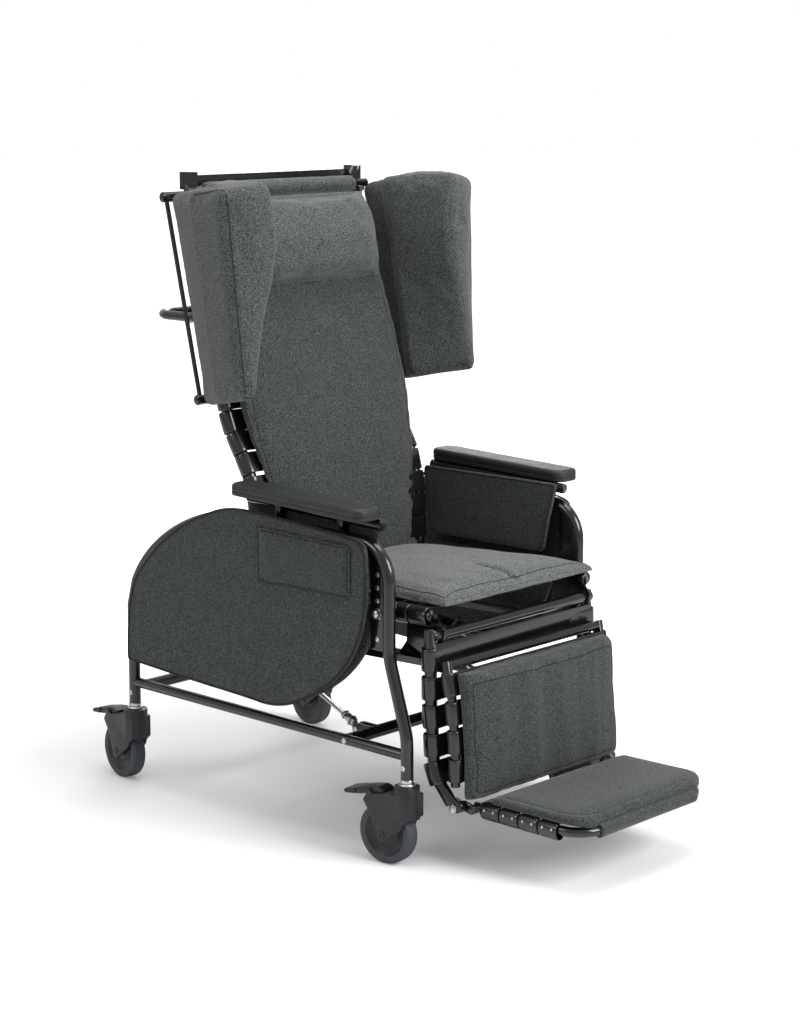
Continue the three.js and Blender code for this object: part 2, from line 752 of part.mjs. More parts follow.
// A turned piece: rows of radius and place along the axis that starts at an origin.
function turned(rows, origin, axis, steps = spring_steps) {
  const points = rows.map(([radius, along]) => new THREE.Vector2(radius, along));
  points.push(points[0].clone());
  const geometry = new THREE.LatheGeometry(points, steps);
  geometry.applyQuaternion(new THREE.Quaternion().setFromUnitVectors(at(0, 1, 0), axis.clone().normalize()));
  return geometry.translate(origin.x, origin.y, origin.z);
}

// A closed skin over rings of points, with a fan over each end ring.
function loft(rings) {
  const count = rings[0].length;
  const positions = [];
  const index = [];
  for (const ring of rings) {
    for (const point of ring) {
      positions.push(point.x, point.y, point.z);
    }
  }
  for (let r = 0; r < rings.length - 1; r += 1) {
    for (let i = 0; i < count; i += 1) {
      const a = r * count + i;
      const b = r * count + ((i + 1) % count);
      index.push(a, b, b + count, a, b + count, a + count);
    }
  }
  for (const [r, turn] of [[0, 1], [rings.length - 1, 0]]) {
    const centre = rings[r].reduce((sum, point) => sum.add(point), at(0, 0, 0)).divideScalar(count);
    const hub = positions.length / 3;
    positions.push(centre.x, centre.y, centre.z);
    for (let i = 0; i < count; i += 1) {
      const a = r * count + i;
      const b = r * count + ((i + 1) % count);
      index.push(...(turn ? [hub, b, a] : [hub, a, b]));
    }
  }
  const geometry = new THREE.BufferGeometry();
  geometry.setAttribute('position', new THREE.Float32BufferAttribute(positions, 3));
  geometry.setIndex(index);
  return geometry;
}

// A solid whose faces point out, from any closed geometry.
function solid(geometry) {
  if (!geometry.isBufferGeometry) {
    return geometry;
  }
  const bare = geometry.clone();
  bare.deleteAttribute('normal');
  bare.deleteAttribute('uv');
  const merged = mergeVertices(bare);
  const places = merged.attributes.position.array;
  const corners = merged.index.array;
  const corner = (i) => at(places[3 * corners[i]], places[3 * corners[i] + 1], places[3 * corners[i] + 2]);
  const faces = [];
  let volume = 0;
  for (let i = 0; i < corners.length; i += 3) {
    const [a, b, c] = [corners[i], corners[i + 1], corners[i + 2]];
    if (a !== b && b !== c && c !== a) {
      faces.push([a, b, c]);
      volume += corner(i).dot(corner(i + 1).cross(corner(i + 2)));
    }
  }
  const ordered = volume < 0 ? faces.map(([a, b, c]) => [a, c, b]) : faces;
  const mesh = new wasm.Mesh({
    numProp: 3,
    vertProperties: new Float32Array(places),
    triVerts: new Uint32Array(ordered.flat()),
  });
  return new wasm.Manifold(mesh);
}

function fuse(...pieces) {
  return pieces.map(solid).reduce((whole, piece) => whole.add(piece));
}

function cut(piece, ...tools) {
  return tools.map(solid).reduce((rest, tool) => rest.subtract(tool), solid(piece));
}

function named(name, body, material) {
  const mesh = solid(body).getMesh();
  const geometry = new THREE.BufferGeometry();
  geometry.setAttribute('position', new THREE.BufferAttribute(new Float32Array(mesh.vertProperties), 3));
  geometry.setIndex(new THREE.BufferAttribute(new Uint32Array(mesh.triVerts), 1));
  geometry.computeVertexNormals();
  const piece = new THREE.Mesh(geometry, material);
  piece.name = name;
  return piece;
}

function sideName(side) {
  return side < 0 ? 'right' : 'left';
}

// Base.

function hoopStations(side) {
  const x = side * hoop_half_width;
  const stations = bentStations([
    at(x, 0, frame_foot_height),
    at(x, 0, kick_start_height),
    at(x, upright_setback, kick_end_height),
    at(x, upright_setback, hoop_height),
    at(x, hoop_fall_start, hoop_height),
  ], [kick_bend_radius, kick_bend_radius, hoop_front_bend_radius]);
  const reach = wheelbase - hoop_fall_start;
  const drop = hoop_height - hoop_shoulder_height;
  for (let i = 1; i <= hoop_fall_steps; i += 1) {
    const angle = (i / hoop_fall_steps) * (Math.PI / 2);
    const y = hoop_fall_start + reach * superellipse(Math.sin(angle));
    const z = hoop_shoulder_height + drop * superellipse(Math.cos(angle));
    stations.push(at(x, y, z));
  }
  stations.push(at(x, wheelbase, frame_foot_height));
  return stations;
}

function hoopTube(side, extra = 0) {
  return sweep(hoopStations(side), frame_tube_radius + extra);
}

function lowerRail(side, extra = 0) {
  const x = side * hoop_half_width;
  return bar(at(x, 0, rail_height), at(x, wheelbase, rail_height), rail_tube_radius + extra);
}

// A place on a superellipse of exponent 1.75, from a sine or cosine.
function superellipse(part) {
  return part ** (2 / 1.75);
}

function pivotPlate(side) {
  const x = side * hoop_half_width;
  const half = plate_thickness / 2;
  const plate = block(x - half, x + half, plate_front_setback, plate_front_setback + plate_width, plate_foot_height,
    plate_top_height);
  const holes = [crossBar(x - half - cut_overrun, x + half + cut_overrun, pivot_setback, pivot_height,
    boreRadius(pivot_pin_radius, running_gap, pin_sides), pin_sides)];
  for (let i = -plate_holes_below; i <= plate_holes_above; i += 1) {
    if (i !== 0) {
      holes.push(crossBar(x - half - cut_overrun, x + half + cut_overrun, pivot_setback,
        pivot_height + i * plate_hole_pitch, plate_hole_radius, hole_sides));
    }
  }
  return cut(plate, ...holes);
}

function stemSocket(side, y) {
  const foot = at(side * hoop_half_width, y, frame_foot_height - cut_overrun);
  const top = at(side * hoop_half_width, y, frame_foot_height + stem_length + seat_gap);
  return bar(foot, top, stem_radius + stem_gap);
}

function sideFrame(side) {
  const frame = fuse(hoopTube(side), lowerRail(side), pivotPlate(side));
  return cut(frame, stemSocket(side, 0), stemSocket(side, wheelbase));
}

function crossTube(y) {
  const reach = hoop_half_width;
  const tube = crossBar(-reach, reach, y, rail_height, frame_tube_radius);
  return cut(tube, lowerRail(left_side, seat_gap), lowerRail(right_side, seat_gap));
}

function circlePoints(y, z, radius, from_degrees, to_degrees, steps) {
  const points = [];
  for (let i = 0; i <= steps; i += 1) {
    const angle = radians(mix(from_degrees, to_degrees, i / steps));
    points.push([y + radius * Math.cos(angle), z + radius * Math.sin(angle)]);
  }
  return points;
}

// A lug from a round tube to a pin at another place in the side view.
function lug(tube_y, tube_z, pin_y, pin_z, radius, x_from, x_to) {
  const facing = THREE.MathUtils.radToDeg(Math.atan2(pin_z - tube_z, pin_y - tube_y));
  const points = [
    ...circlePoints(tube_y, tube_z, radius, facing + 90, facing + 270, lug_root_steps),
    ...circlePoints(pin_y, pin_z, radius, facing - 90, facing + 90, lug_tip_steps),
  ];
  return sidePlate(points, x_from, x_to);
}

function springLugs(side) {
  const inner = tilt_spring_half_width - spring_eye_width / 2 - running_gap;
  const outer = tilt_spring_half_width + spring_eye_width / 2 + running_gap;
  const place = [front_cross_setback, rail_height, tilt_anchor_setback, rail_height, lug_radius];
  return [
    lug(...place, side * (inner - lug_thickness), side * inner),
    lug(...place, side * outer, side * (outer + lug_thickness)),
    crossBar(side * (inner - weld_depth), side * (outer + weld_depth), tilt_anchor_setback, rail_height,
      pin_radius, pin_sides),
  ];
}

function frontCrossTube() {
  return fuse(crossTube(front_cross_setback), ...springLugs(right_side), ...springLugs(left_side));
}

function panelOutline(length) {
  const shares = [...panel_top_shares, ...panel_foot_shares, ...panel_front_shares];
  return scaled(shares, panel_front_setback, panel_foot_height, length, panel_height).reverse();
}

function outerPanel(side) {
  const inner = hoop_half_width + frame_tube_radius + seat_gap;
  return sidePlate(panelOutline(panel_length), side * inner, side * (inner + panel_thickness), panel_piping);
}

function innerPanel(side) {
  const outer = hoop_half_width - frame_tube_radius - seat_gap;
  const inner = outer - inner_panel_thickness;
  const top = panel_foot_height + inner_panel_height;
  const cutter = block(side * (inner - cut_overrun), side * (outer + cut_overrun),
    panel_front_setback - panel_length, panel_front_setback + panel_length * 2, top, top + panel_height);
  const boss = pivotBoss(side, inner_panel_clearance);
  return cut(sidePlate(panelOutline(inner_panel_length), side * inner, side * outer, panel_piping), cutter, boss);
}

function sidePocket(side) {
  const inner = hoop_half_width + frame_tube_radius + seat_gap + panel_thickness + seat_gap;
  const points = scaled(pocket_shares, pocket_setback, pocket_foot_height, pocket_length, pocket_height);
  return sidePlate(points, side * inner, side * (inner + pocket_thickness), pocket_edge);
}

// Arms.

function armLine(y) {
  return arm_tube_height + (arm_rise * (y - arm_front_setback)) / arm_tube_length;
}

function armTube(side, extra = 0) {
  const rear = arm_front_setback + arm_tube_length;
  const x = side * arm_tube_half_width;
  return bar(at(x, arm_front_setback, armLine(arm_front_setback)), at(x, rear, armLine(rear)),
    rail_tube_radius + extra);
}

function armPosts(side, extra = 0) {
  return arm_post_shares.map((share) => {
    const y = arm_front_setback + share * arm_tube_length;
    return block(side * (arm_post_half_width - extra), side * (arm_post_half_width + arm_post_depth + extra),
      y - arm_post_width / 2 - extra, y + arm_post_width / 2 + extra, hoop_height, armLine(y));
  });
}

function armFrame(side) {
  return cut(fuse(armTube(side), ...armPosts(side)), hoopTube(side, seat_gap));
}

function armPad(side) {
  const x = side * (arm_tube_half_width + arm_pad_offset);
  const half = arm_pad_width / 2;
  const corner = arm_pad_corner;
  const outline = [
    ...circlePoints(half - corner, corner, corner, -90, 0, corner_steps),
    ...circlePoints(half - corner, arm_tube_length - corner, corner, 0, 90, corner_steps),
    ...circlePoints(corner - half, arm_tube_length - corner, corner, 90, 180, corner_steps),
    ...circlePoints(corner - half, corner, corner, 180, 270, corner_steps),
  ];
  const pad = planPlate(outline, 0, arm_pad_thickness, arm_pad_edge);
  pad.rotateX(Math.atan2(arm_rise, arm_tube_length));
  const foot = armLine(arm_pad_setback) + rail_tube_radius + seat_gap;
  return pad.translate(x, arm_pad_setback, foot);
}

function armPanel(side) {
  const half = arm_panel_thickness / 2;
  const points = scaled(arm_panel_shares, arm_panel_front_setback, arm_panel_foot_height, arm_panel_length,
    arm_panel_height);
  const panel = sidePlate(points, side * (arm_panel_half_width - half), side * (arm_panel_half_width + half),
    arm_panel_edge);
  return cut(panel, armTube(side, seat_gap), ...armPosts(side, seat_gap));
}

// Casters, built with the stem on the z axis.

function wheel() {
  const half = wheel_width / 2;
  const shoulder = half - tyre_shoulder;
  const web = half - wheel_recess;
  const rows = [
    [axle_radius + running_gap, -web], [rim_radius, -web], [rim_radius, -half],
    [wheel_radius - tyre_shoulder, -half], [wheel_radius, -shoulder], [wheel_radius, shoulder],
    [wheel_radius - tyre_shoulder, half], [rim_radius, half], [rim_radius, web], [axle_radius + running_gap, web],
  ];
  return turned(rows, at(0, wheel_trail, wheel_radius), at(1, 0, 0), wheel_steps);
}

function fork() {
  const outline = scaled(fork_shares, -fork_reach_back, fork_foot_height, fork_reach,
    fork_deck_height - fork_foot_height);
  const legs = sidePlate(outline, -fork_half_width, fork_half_width);
  const hood = bar(at(0, 0, fork_hood_foot), at(0, 0, fork_top_height), fork_hood_radius, hood_sides);
  const cavity = crossBar(-wheel_width / 2 - wheel_clearance, wheel_width / 2 + wheel_clearance, wheel_trail,
    wheel_radius, (wheel_radius + wheel_clearance) / Math.cos(Math.PI / cavity_sides), cavity_sides);
  const axle = crossBar(-fork_half_width, fork_half_width, wheel_trail, wheel_radius, axle_radius, pin_sides);
  const ring_top = fork_top_height + fork_ring_height;
  const ring = bar(at(0, 0, fork_top_height - weld_depth), at(0, 0, ring_top), fork_ring_radius, hood_sides);
  const stem_top = frame_foot_height + stem_length;
  const stem = bar(at(0, 0, ring_top - weld_depth), at(0, 0, stem_top), stem_radius, rod_sides);
  const ears = [-1, 1].map((side) => lug(pedal_ear_root_setback, pedal_ear_root_height, pedal_pivot_setback,
    pedal_pivot_height, pedal_ear_radius, side * (pedal_half_width + running_gap), side * fork_half_width));
  const pin = crossBar(-pedal_half_width - running_gap - weld_depth, pedal_half_width + running_gap + weld_depth,
    pedal_pivot_setback, pedal_pivot_height, pedal_pin_radius, pin_sides);
  const body = fuse(cut(fuse(legs, hood, ...ears), cavity), axle, ring, stem, pin);
  return cut(body, sidePlate(pedalOutline(pedal_clearance), -pedal_half_width - running_gap,
    pedal_half_width + running_gap)).add(solid(pin));
}

function pedalOutline(extra = 0) {
  return scaled(pedal_shares, pedal_setback - extra, pedal_foot_height - extra, pedal_length + extra * 2,
    pedal_height + extra * 2);
}

function pedal() {
  const toe_start = pedal_setback + pedal_length * pedal_toe_share;
  const blade = sidePlate(pedalOutline(), -pedal_half_width, pedal_half_width);
  const toe = sidePlate(pedalOutline(), -pedal_toe_half_width, pedal_toe_half_width);
  const rest = block(-pedal_toe_half_width - cut_overrun, pedal_toe_half_width + cut_overrun,
    toe_start - pedal_length, toe_start, pedal_foot_height - pedal_height, pedal_foot_height + pedal_height * 2);
  const hole = crossBar(-pedal_half_width - cut_overrun, pedal_half_width + cut_overrun, pedal_pivot_setback,
    pedal_pivot_height, pedal_pin_radius + running_gap, pin_sides);
  return cut(fuse(blade, cut(toe, rest)), hole);
}

function caster(side, y, turn_degrees, place) {
  const group = new THREE.Group();
  const name = `${place}_${sideName(side)}`;
  group.add(named(`caster_fork_${name}`, fork(), moulding()));
  group.add(named(`caster_wheel_${name}`, wheel(), tyre()));
  group.add(named(`brake_pedal_${name}`, pedal(), moulding()));
  group.position.set(side * hoop_half_width, y, 0);
  group.rotation.z = radians(turn_degrees);
  return group;
}

// Seat.

function seatLine(y) {
  const share = (y - seat_tube_front) / (seat_tube_rear - seat_tube_front);
  return mix(seat_tube_front_height, seat_tube_rear_height, share);
}

function railLine(y) {
  const share = (y - seat_rail_front) / (seat_rail_rear - seat_rail_front);
  return mix(seat_rail_front_height, seat_rail_rear_height, share);
}

function seatTube(side, extra = 0) {
  const x = side * seat_tube_half_width;
  return bar(at(x, seat_tube_front, seat_tube_front_height), at(x, seat_tube_rear, seat_tube_rear_height),
    frame_tube_radius + extra);
}

function seatPlate(side, shares, front, foot, length, height, extra = 0) {
  const half = seat_plate_thickness / 2 + extra;
  const points = scaled(shares, front - extra, foot - extra, length + extra * 2, height + extra * 2);
  return sidePlate(points, side * (seat_plate_half_width - half), side * (seat_plate_half_width + half));
}

function seatPlates(side, extra = 0) {
  return [
    seatPlate(side, seat_plate_shares, seat_plate_front, seat_plate_foot, seat_plate_length, seat_plate_height,
      extra),
    seatPlate(side, recline_plate_shares, recline_plate_front, recline_plate_foot, recline_plate_length,
      recline_plate_height, extra),
  ];
}

function pivotBoss(side, extra = 0) {
  const plate_inner = hoop_half_width - plate_thickness / 2 - seat_gap;
  return crossBar(side * seat_tube_half_width, side * plate_inner, pivot_setback, pivot_height,
    pivot_boss_radius + extra);
}

function pivotBolt(side) {
  const head_inner = hoop_half_width + plate_thickness / 2 + seat_gap;
  return [
    crossBar(side * seat_tube_half_width, side * (head_inner + weld_depth), pivot_setback, pivot_height,
      pivot_pin_radius, pin_sides),
    crossBar(side * head_inner, side * (head_inner + pivot_head_length), pivot_setback, pivot_height,
      pivot_head_radius, pin_sides),
  ];
}

function tiltEyeHeight() {
  return railLine(tilt_eye_setback);
}

function seatSide(side) {
  const rail_points = [
    [seat_rail_front, railLine(seat_rail_front) - seat_rail_depth / 2],
    [seat_rail_rear, railLine(seat_rail_rear) - seat_rail_depth / 2],
    [seat_rail_rear, railLine(seat_rail_rear) + seat_rail_depth / 2],
    [seat_rail_front, railLine(seat_rail_front) + seat_rail_depth / 2],
  ];
  const rail_inner = seat_rail_half_width - seat_rail_width / 2 - weld_depth / 2;
  const rail = sidePlate(rail_points, side * rail_inner, side * (rail_inner + seat_rail_width));
  const eye_outer = tilt_spring_half_width + spring_eye_width / 2 + running_gap;
  const eye_pin = crossBar(side * eye_outer, side * (rail_inner + weld_depth), tilt_eye_setback, tiltEyeHeight(),
    pin_radius, pin_sides);
  const recline_pin = crossBar(side * (seat_plate_half_width - weld_depth),
    side * (back_half_width + frame_tube_radius), recline_pivot_setback, recline_pivot_height, pin_radius,
    pin_sides);
  const hinge_bore = crossBar(side * (seat_plate_half_width - seat_plate_thickness),
    side * (seat_plate_half_width + seat_plate_thickness), legrest_pivot_setback, legrest_pivot_height,
    boreRadius(rail_tube_radius, running_gap, tube_sides));
  const body = fuse(seatTube(side), rail, ...seatPlates(side), pivotBoss(side), ...pivotBolt(side), eye_pin,
    recline_pin);
  return cut(body, hinge_bore);
}

function seatCrossReach() {
  return seat_plate_half_width - seat_plate_thickness / 2 - seat_gap;
}

// Two cheeks that hold a gas spring's eye at the middle of the chair, and the heads of their pin.
function springCheeks(tube_y, tube_z, pin_y, pin_z) {
  const inner = spring_eye_width / 2 + running_gap;
  const outer = inner + lug_thickness;
  return [
    lug(tube_y, tube_z, pin_y, pin_z, spring_eye_radius, inner, outer),
    lug(tube_y, tube_z, pin_y, pin_z, spring_eye_radius, -outer, -inner),
    crossBar(outer - weld_depth, outer + pin_head_length, pin_y, pin_z, pin_radius, pin_sides),
    crossBar(-outer - pin_head_length, weld_depth - outer, pin_y, pin_z, pin_radius, pin_sides),
  ];
}

// The part of that pin that passes through the eye.
function springCheekPin(pin_y, pin_z) {
  const reach = spring_eye_width / 2 + running_gap + weld_depth;
  return crossBar(-reach, reach, pin_y, pin_z, pin_radius, pin_sides);
}

function seatFrontCross() {
  const reach = seatCrossReach();
  return fuse(
    crossBar(-reach, reach, seat_front_cross_setback, seat_front_cross_height, rail_tube_radius),
    ...springCheeks(seat_front_cross_setback, seat_front_cross_height, recline_anchor_setback,
      seat_front_cross_height),
    springCheekPin(recline_anchor_setback, seat_front_cross_height),
  );
}

function seatRearCross() {
  const reach = seatCrossReach();
  return crossBar(-reach, reach, seat_rear_cross_setback, seat_rear_cross_height, rail_tube_radius);
}

// Straps.

// Radii of a strap's hook, whose flats stay clear of the tube.
function strapInner(tube_radius) {
  return (tube_radius + seat_gap * 2) / Math.cos(radians(strap_wrap_degrees / strap_hook_steps / 2));
}

function strapOuter(tube_radius) {
  return strapInner(tube_radius) + strap_thickness;
}

// The section of a strap: a hook round each tube, joined by one layer on its face.
function strapOutline(half_span, tube_radius) {
  const inner = strapInner(tube_radius);
  const outer = strapOuter(tube_radius);
  const right = [
    ...circlePoints(half_span, 0, outer, 90, 90 - strap_wrap_degrees, strap_hook_steps),
    ...circlePoints(half_span, 0, inner, 90 - strap_wrap_degrees, 90, strap_hook_steps),
  ];
  const left = right.map(([x, z]) => [-x, z]).reverse();
  return shapeOf([...right, ...left]);
}

// A piece of strap centred on a place, its layer on the side that facing points to.
function strapPiece(outline, centre, along, facing, length) {
  const geometry = new THREE.ExtrudeGeometry(outline, { depth: length, bevelEnabled: false });
  geometry.translate(0, 0, -length / 2);
  const across = facing.clone().cross(along).normalize();
  const up = along.clone().cross(across).normalize();
  geometry.applyMatrix4(new THREE.Matrix4().makeBasis(across, up, along.clone().normalize()));
  return geometry.translate(centre.x, centre.y, centre.z);
}

// Places at even steps along a path of stations, with the direction there.
function walk(stations, start, pitch, count) {
  const places = [];
  for (let i = 0; i < count; i += 1) {
    let rest = start + i * pitch;
    for (let s = 0; s < stations.length - 1; s += 1) {
      const run = stations[s + 1].clone().sub(stations[s]);
      if (rest <= run.length() || s === stations.length - 2) {
        places.push({ centre: run.clone().setLength(rest).add(stations[s]), along: run.normalize() });
        break;
      }
      rest -= run.length();
    }
  }
  return places;
}

// How many straps at a pitch fit on a path between its two bare ends.
function strapCount(stations, start, end, pitch) {
  const runs = stations.slice(1).map((station, i) => station.clone().sub(stations[i]).length());
  const length = runs.reduce((sum, run) => sum + run, 0);
  return Math.floor((length - start - end) / pitch) + 1;
}

function strapSet(stations, facing, half_span, tube_radius, start, end, pitch, ...tools) {
  const middle = stations.map((station) => at(0, station.y, station.z));
  const count = strapCount(middle, start, end, pitch);
  const places = walk(middle, start, pitch, count);
  const outline = strapOutline(half_span, tube_radius);
  const low = strapInner(tube_radius) + seat_gap;
  const link = shapeOf([[-half_span, low], [half_span, low], [half_span, low + strap_link_thickness],
    [-half_span, low + strap_link_thickness]]);
  const pieces = places.map(({ centre, along }) => strapPiece(outline, centre, along, facing, strap_width));
  for (const { centre, along } of walk(middle, start + pitch / 2, pitch, count - 1)) {
    pieces.push(strapPiece(link, centre, along, facing, pitch - strap_width / 2));
  }
  return cut(fuse(...pieces), ...tools);
}

function seatStraps() {
  const stations = [at(0, seat_tube_front, seat_tube_front_height), at(0, seat_tube_rear, seat_tube_rear_height)];
  const tools = [left_side, right_side].flatMap((side) => [
    seatTube(side, seat_gap), pivotBoss(side, seat_gap), ...seatPlates(side, seat_gap),
  ]);
  return strapSet(stations, at(0, 0, 1), seat_tube_half_width, frame_tube_radius, seat_strap_start,
    seat_strap_end, seat_strap_pitch, ...tools);
}

// Cushions are lofts over rings of a crowned face and a plainer underside.

// Crowns over shares from -1 to 1, from a soft one to one with crisp edges.
function softCrown(share) {
  return 1 - Math.abs(share) ** 4;
}

function fullCrown(share) {
  return 1 - Math.abs(share) ** 5;
}

function crispCrown(share) {
  return 1 - Math.abs(share) ** 6;
}

// How deep the slit in the cushion's front runs at a station.
function cushionSlit(station, thickness) {
  const slit_end = cushion_slit_length / cushion_length;
  const fade = (slit_end - station) / (slit_end * cushion_slit_end_share);
  const depth = Math.min(cushion_slit_depth, thickness * cushion_slit_depth_share);
  return Math.max(0, Math.min(1, fade)) * depth;
}

// The swell of the cushion's crown at a station between its front and rear rolls.
function cushionSwell(station) {
  const along = Math.min(1, station / cushion_front_roll_share, (1 - station) / cushion_rear_roll_share);
  return cushion_swell * Math.sin((along * Math.PI) / 2) ** 0.8;
}

function seatCushion() {
  const rings = cushion_station_shares.map((station) => {
    const y = cushion_front + station * cushion_length;
    const half = mix(cushion_front_half_width, cushion_rear_half_width, station);
    const foot = seatLine(y) + strapOuter(frame_tube_radius) + seat_gap;
    const swell = cushionSwell(station);
    const slit = cushionSlit(station, swell + cushion_edge_thickness);
    const lift = (share) => swell * softCrown(share)
      + cushion_edge_thickness * (Math.abs(share) === 1 ? cushion_side_top_share : 1);
    const lip_share = cushion_slit_half_width / half;
    const right = [...cushion_side_shares].reverse().map((share) => at(-share * half, y, foot + lift(share)));
    const left = cushion_side_shares.map((share) => at(share * half, y, foot + lift(share)));
    const lips = [-lip_share, 0, lip_share].map((share) => at(share * half, y, foot + lift(share)
      - (share === 0 ? slit : 0)));
    const under = cushion_under_shares.map((share) => at(share * half, y, foot
      + (share === 1 ? cushion_edge_thickness * cushion_side_foot_share : 0)));
    return [...right, ...lips, ...left, ...under];
  });
  return loft(rings);
}

// Gas springs, as a body with an open bore and a rod with an eye.

function springEye(x, y, z) {
  return crossBar(x - spring_eye_width / 2, x + spring_eye_width / 2, y, z, spring_eye_radius, rod_sides);
}

function springBore(x, y, z) {
  return crossBar(x - spring_eye_width, x + spring_eye_width, y, z, boreRadius(pin_radius, running_gap, pin_sides),
    pin_sides);
}

// The barrel of a gas spring, without a bore in its eye.
function springBody(eye, mouth_direction, length) {
  const rows = [
    [0, spring_head_length], [spring_body_radius, spring_head_length], [spring_body_radius, length],
    [spring_rod_radius + running_gap, length], [spring_rod_radius + running_gap, spring_head_length + spring_wall],
    [0, spring_head_length + spring_wall],
  ];
  const tube = turned(rows, eye, mouth_direction);
  const neck_end = mouth_direction.clone().setLength(spring_head_length + weld_depth).add(eye);
  const neck = bar(eye, neck_end, spring_eye_width / 2, rod_sides);
  return fuse(tube, neck, springEye(eye.x, eye.y, eye.z));
}

// The rod of a gas spring, without a bore in its eye.
function springRod(eye, direction, length) {
  const end = direction.clone().setLength(length).add(eye);
  const rod = bar(eye, end, spring_rod_radius, rod_sides);
  return fuse(rod, springEye(eye.x, eye.y, eye.z));
}

function tiltSpringEnds(side) {
  const x = side * tilt_spring_half_width;
  return [at(x, tilt_anchor_setback, rail_height), at(x, tilt_eye_setback, tiltEyeHeight())];
}

function reclineSpringEnds() {
  return [
    at(0, recline_anchor_setback, seat_front_cross_height),
    at(0, recline_pivot_setback, recline_pivot_height - recline_lever_drop),
  ];
}

// Back.

function backStations(side) {
  const x = side * back_half_width;
  return bentStations([
    at(x, recline_pivot_setback, recline_pivot_height - back_foot_drop),
    at(x, recline_pivot_setback + back_run * back_knee_run_share,
      recline_pivot_height + back_rise * back_knee_rise_share),
    at(x, recline_pivot_setback + back_run * back_waist_run_share,
      recline_pivot_height + back_rise * back_waist_rise_share),
    at(x, back_shoulder_setback, back_shoulder_height),
    at(x, back_top_setback, back_top_height),
  ], back_bend_radius);
}

function backLine(height) {
  return pathSetback(backStations(left_side), height);
}

function backLean() {
  return at(0, back_top_setback - back_shoulder_setback, back_top_height - back_shoulder_height).normalize();
}

// A back tube, or with extra a cutter that also clears its upper end.
function backTube(side, extra = 0) {
  const stations = backStations(side);
  const top = stations[stations.length - 1];
  stations[stations.length - 1] = backLean().multiplyScalar(extra).add(top);
  return sweep(stations, frame_tube_radius + extra);
}

function pushBar(extra = 0) {
  const root = backLine(push_bar_height);
  const x = push_bar_half_width;
  return sweep(bentStations([
    at(-x, root, push_bar_height), at(-x, push_bar_reach, push_bar_height), at(x, push_bar_reach, push_bar_height),
    at(x, root, push_bar_height),
  ], push_bar_bend_radius), push_bar_radius + extra);
}

function backCross(height, extra = 0) {
  return crossBar(-back_half_width, back_half_width, backLine(height), height, light_tube_radius + extra);
}

function rollSetback() {
  return backLine(roll_height) - roll_offset;
}

function rollTube(extra = 0) {
  return crossBar(-roll_tube_reach, roll_tube_reach, rollSetback(), roll_height, light_tube_radius + extra);
}

function leverCheek() {
  const reach = push_bar_reach;
  const cheek_front = reach + lever_width / 2 + running_gap;
  const cheek = block(lever_offset - lever_hub_radius, lever_offset + lever_hub_radius, cheek_front,
    cheek_front + plate_thickness / 2, push_bar_height - lever_drop - lever_hub_radius, push_bar_height);
  const pin = bar(at(lever_offset, reach - lever_width / 2, push_bar_height - lever_drop),
    at(lever_offset, cheek_front + weld_depth, push_bar_height - lever_drop), lever_pin_radius, pin_sides);
  return [cheek, pin];
}

function backFrame() {
  const lever_foot = recline_pivot_height - recline_lever_drop;
  const low_cross = backLine(back_low_cross_height);
  const sides = [left_side, right_side].map((side) => backTube(side));
  const frame = fuse(
    ...sides, pushBar(), backCross(back_low_cross_height), backCross(back_mid_cross_height), rollTube(),
    ...leverCheek(),
    ...springCheeks(low_cross, back_low_cross_height, recline_pivot_setback, lever_foot),
  );
  const bores = [left_side, right_side].map((side) => crossBar(side * (back_half_width - frame_tube_radius * 2),
    side * (back_half_width + frame_tube_radius * 2), recline_pivot_setback, recline_pivot_height,
    boreRadius(pin_radius, running_gap, pin_sides), pin_sides));
  return cut(frame, ...bores);
}

function backStraps() {
  const tools = [left_side, right_side].map((side) => backTube(side, seat_gap));
  return strapSet(backStations(left_side), at(0, -1, 0), back_half_width, frame_tube_radius, back_strap_start,
    back_strap_end, back_strap_pitch, ...tools, pushBar(seat_gap), backCross(back_low_cross_height, seat_gap),
    backCross(back_mid_cross_height, seat_gap), rollTube(seat_gap));
}

// The least setback of the straps' front over a span of heights.
function strapFront(height) {
  const reach = strapOuter(frame_tube_radius) + seat_gap;
  const lean = at(0, backLine(height + strap_width / 2) - backLine(height - strap_width / 2), strap_width);
  return backLine(height) - (reach * lean.length()) / strap_width - back_pad_clearance;
}

function backPadStation([rise, thickness]) {
  const height = back_pad_foot_height + rise * back_pad_height;
  return { height, front: strapFront(height) - thickness * back_pad_thickness };
}

function backPad() {
  const last = back_pad_shares.length - 1;
  const rings = back_pad_shares.map((row, i) => {
    const { height, front } = backPadStation(row);
    const half_width = row[2] * back_half_width;
    const rear = strapFront(height);
    const seam = Math.min(front + back_pad_side_depth, rear - back_pad_least_thickness / 2);
    const face = back_pad_across_shares.map((share) => {
      const draw = (1 - fullCrown(share)) * back_pad_edge;
      return at(share * half_width, Math.min(front + draw, rear - back_pad_least_thickness), height);
    });
    const back = back_pad_rear_shares.map((share) => at(share * half_width, Math.abs(share) === 1 ? seam : rear,
      height));
    const tight = i === 0 || i === last ? back_pad_end_share : 0;
    return [...face, ...back].map((point) => at(point.x, mix(point.y, (front + rear) / 2, tight), point.z));
  });
  return loft(rings);
}

// The pillow's back runs straight up the pad's front.
function pillowRear(height) {
  const [low, high] = back_pad_shares.slice(-4, -1).filter((_, i) => i !== 1).map(backPadStation);
  const share = (height - low.height) / (high.height - low.height);
  return mix(low.front, high.front, share) - pillow_clearance;
}

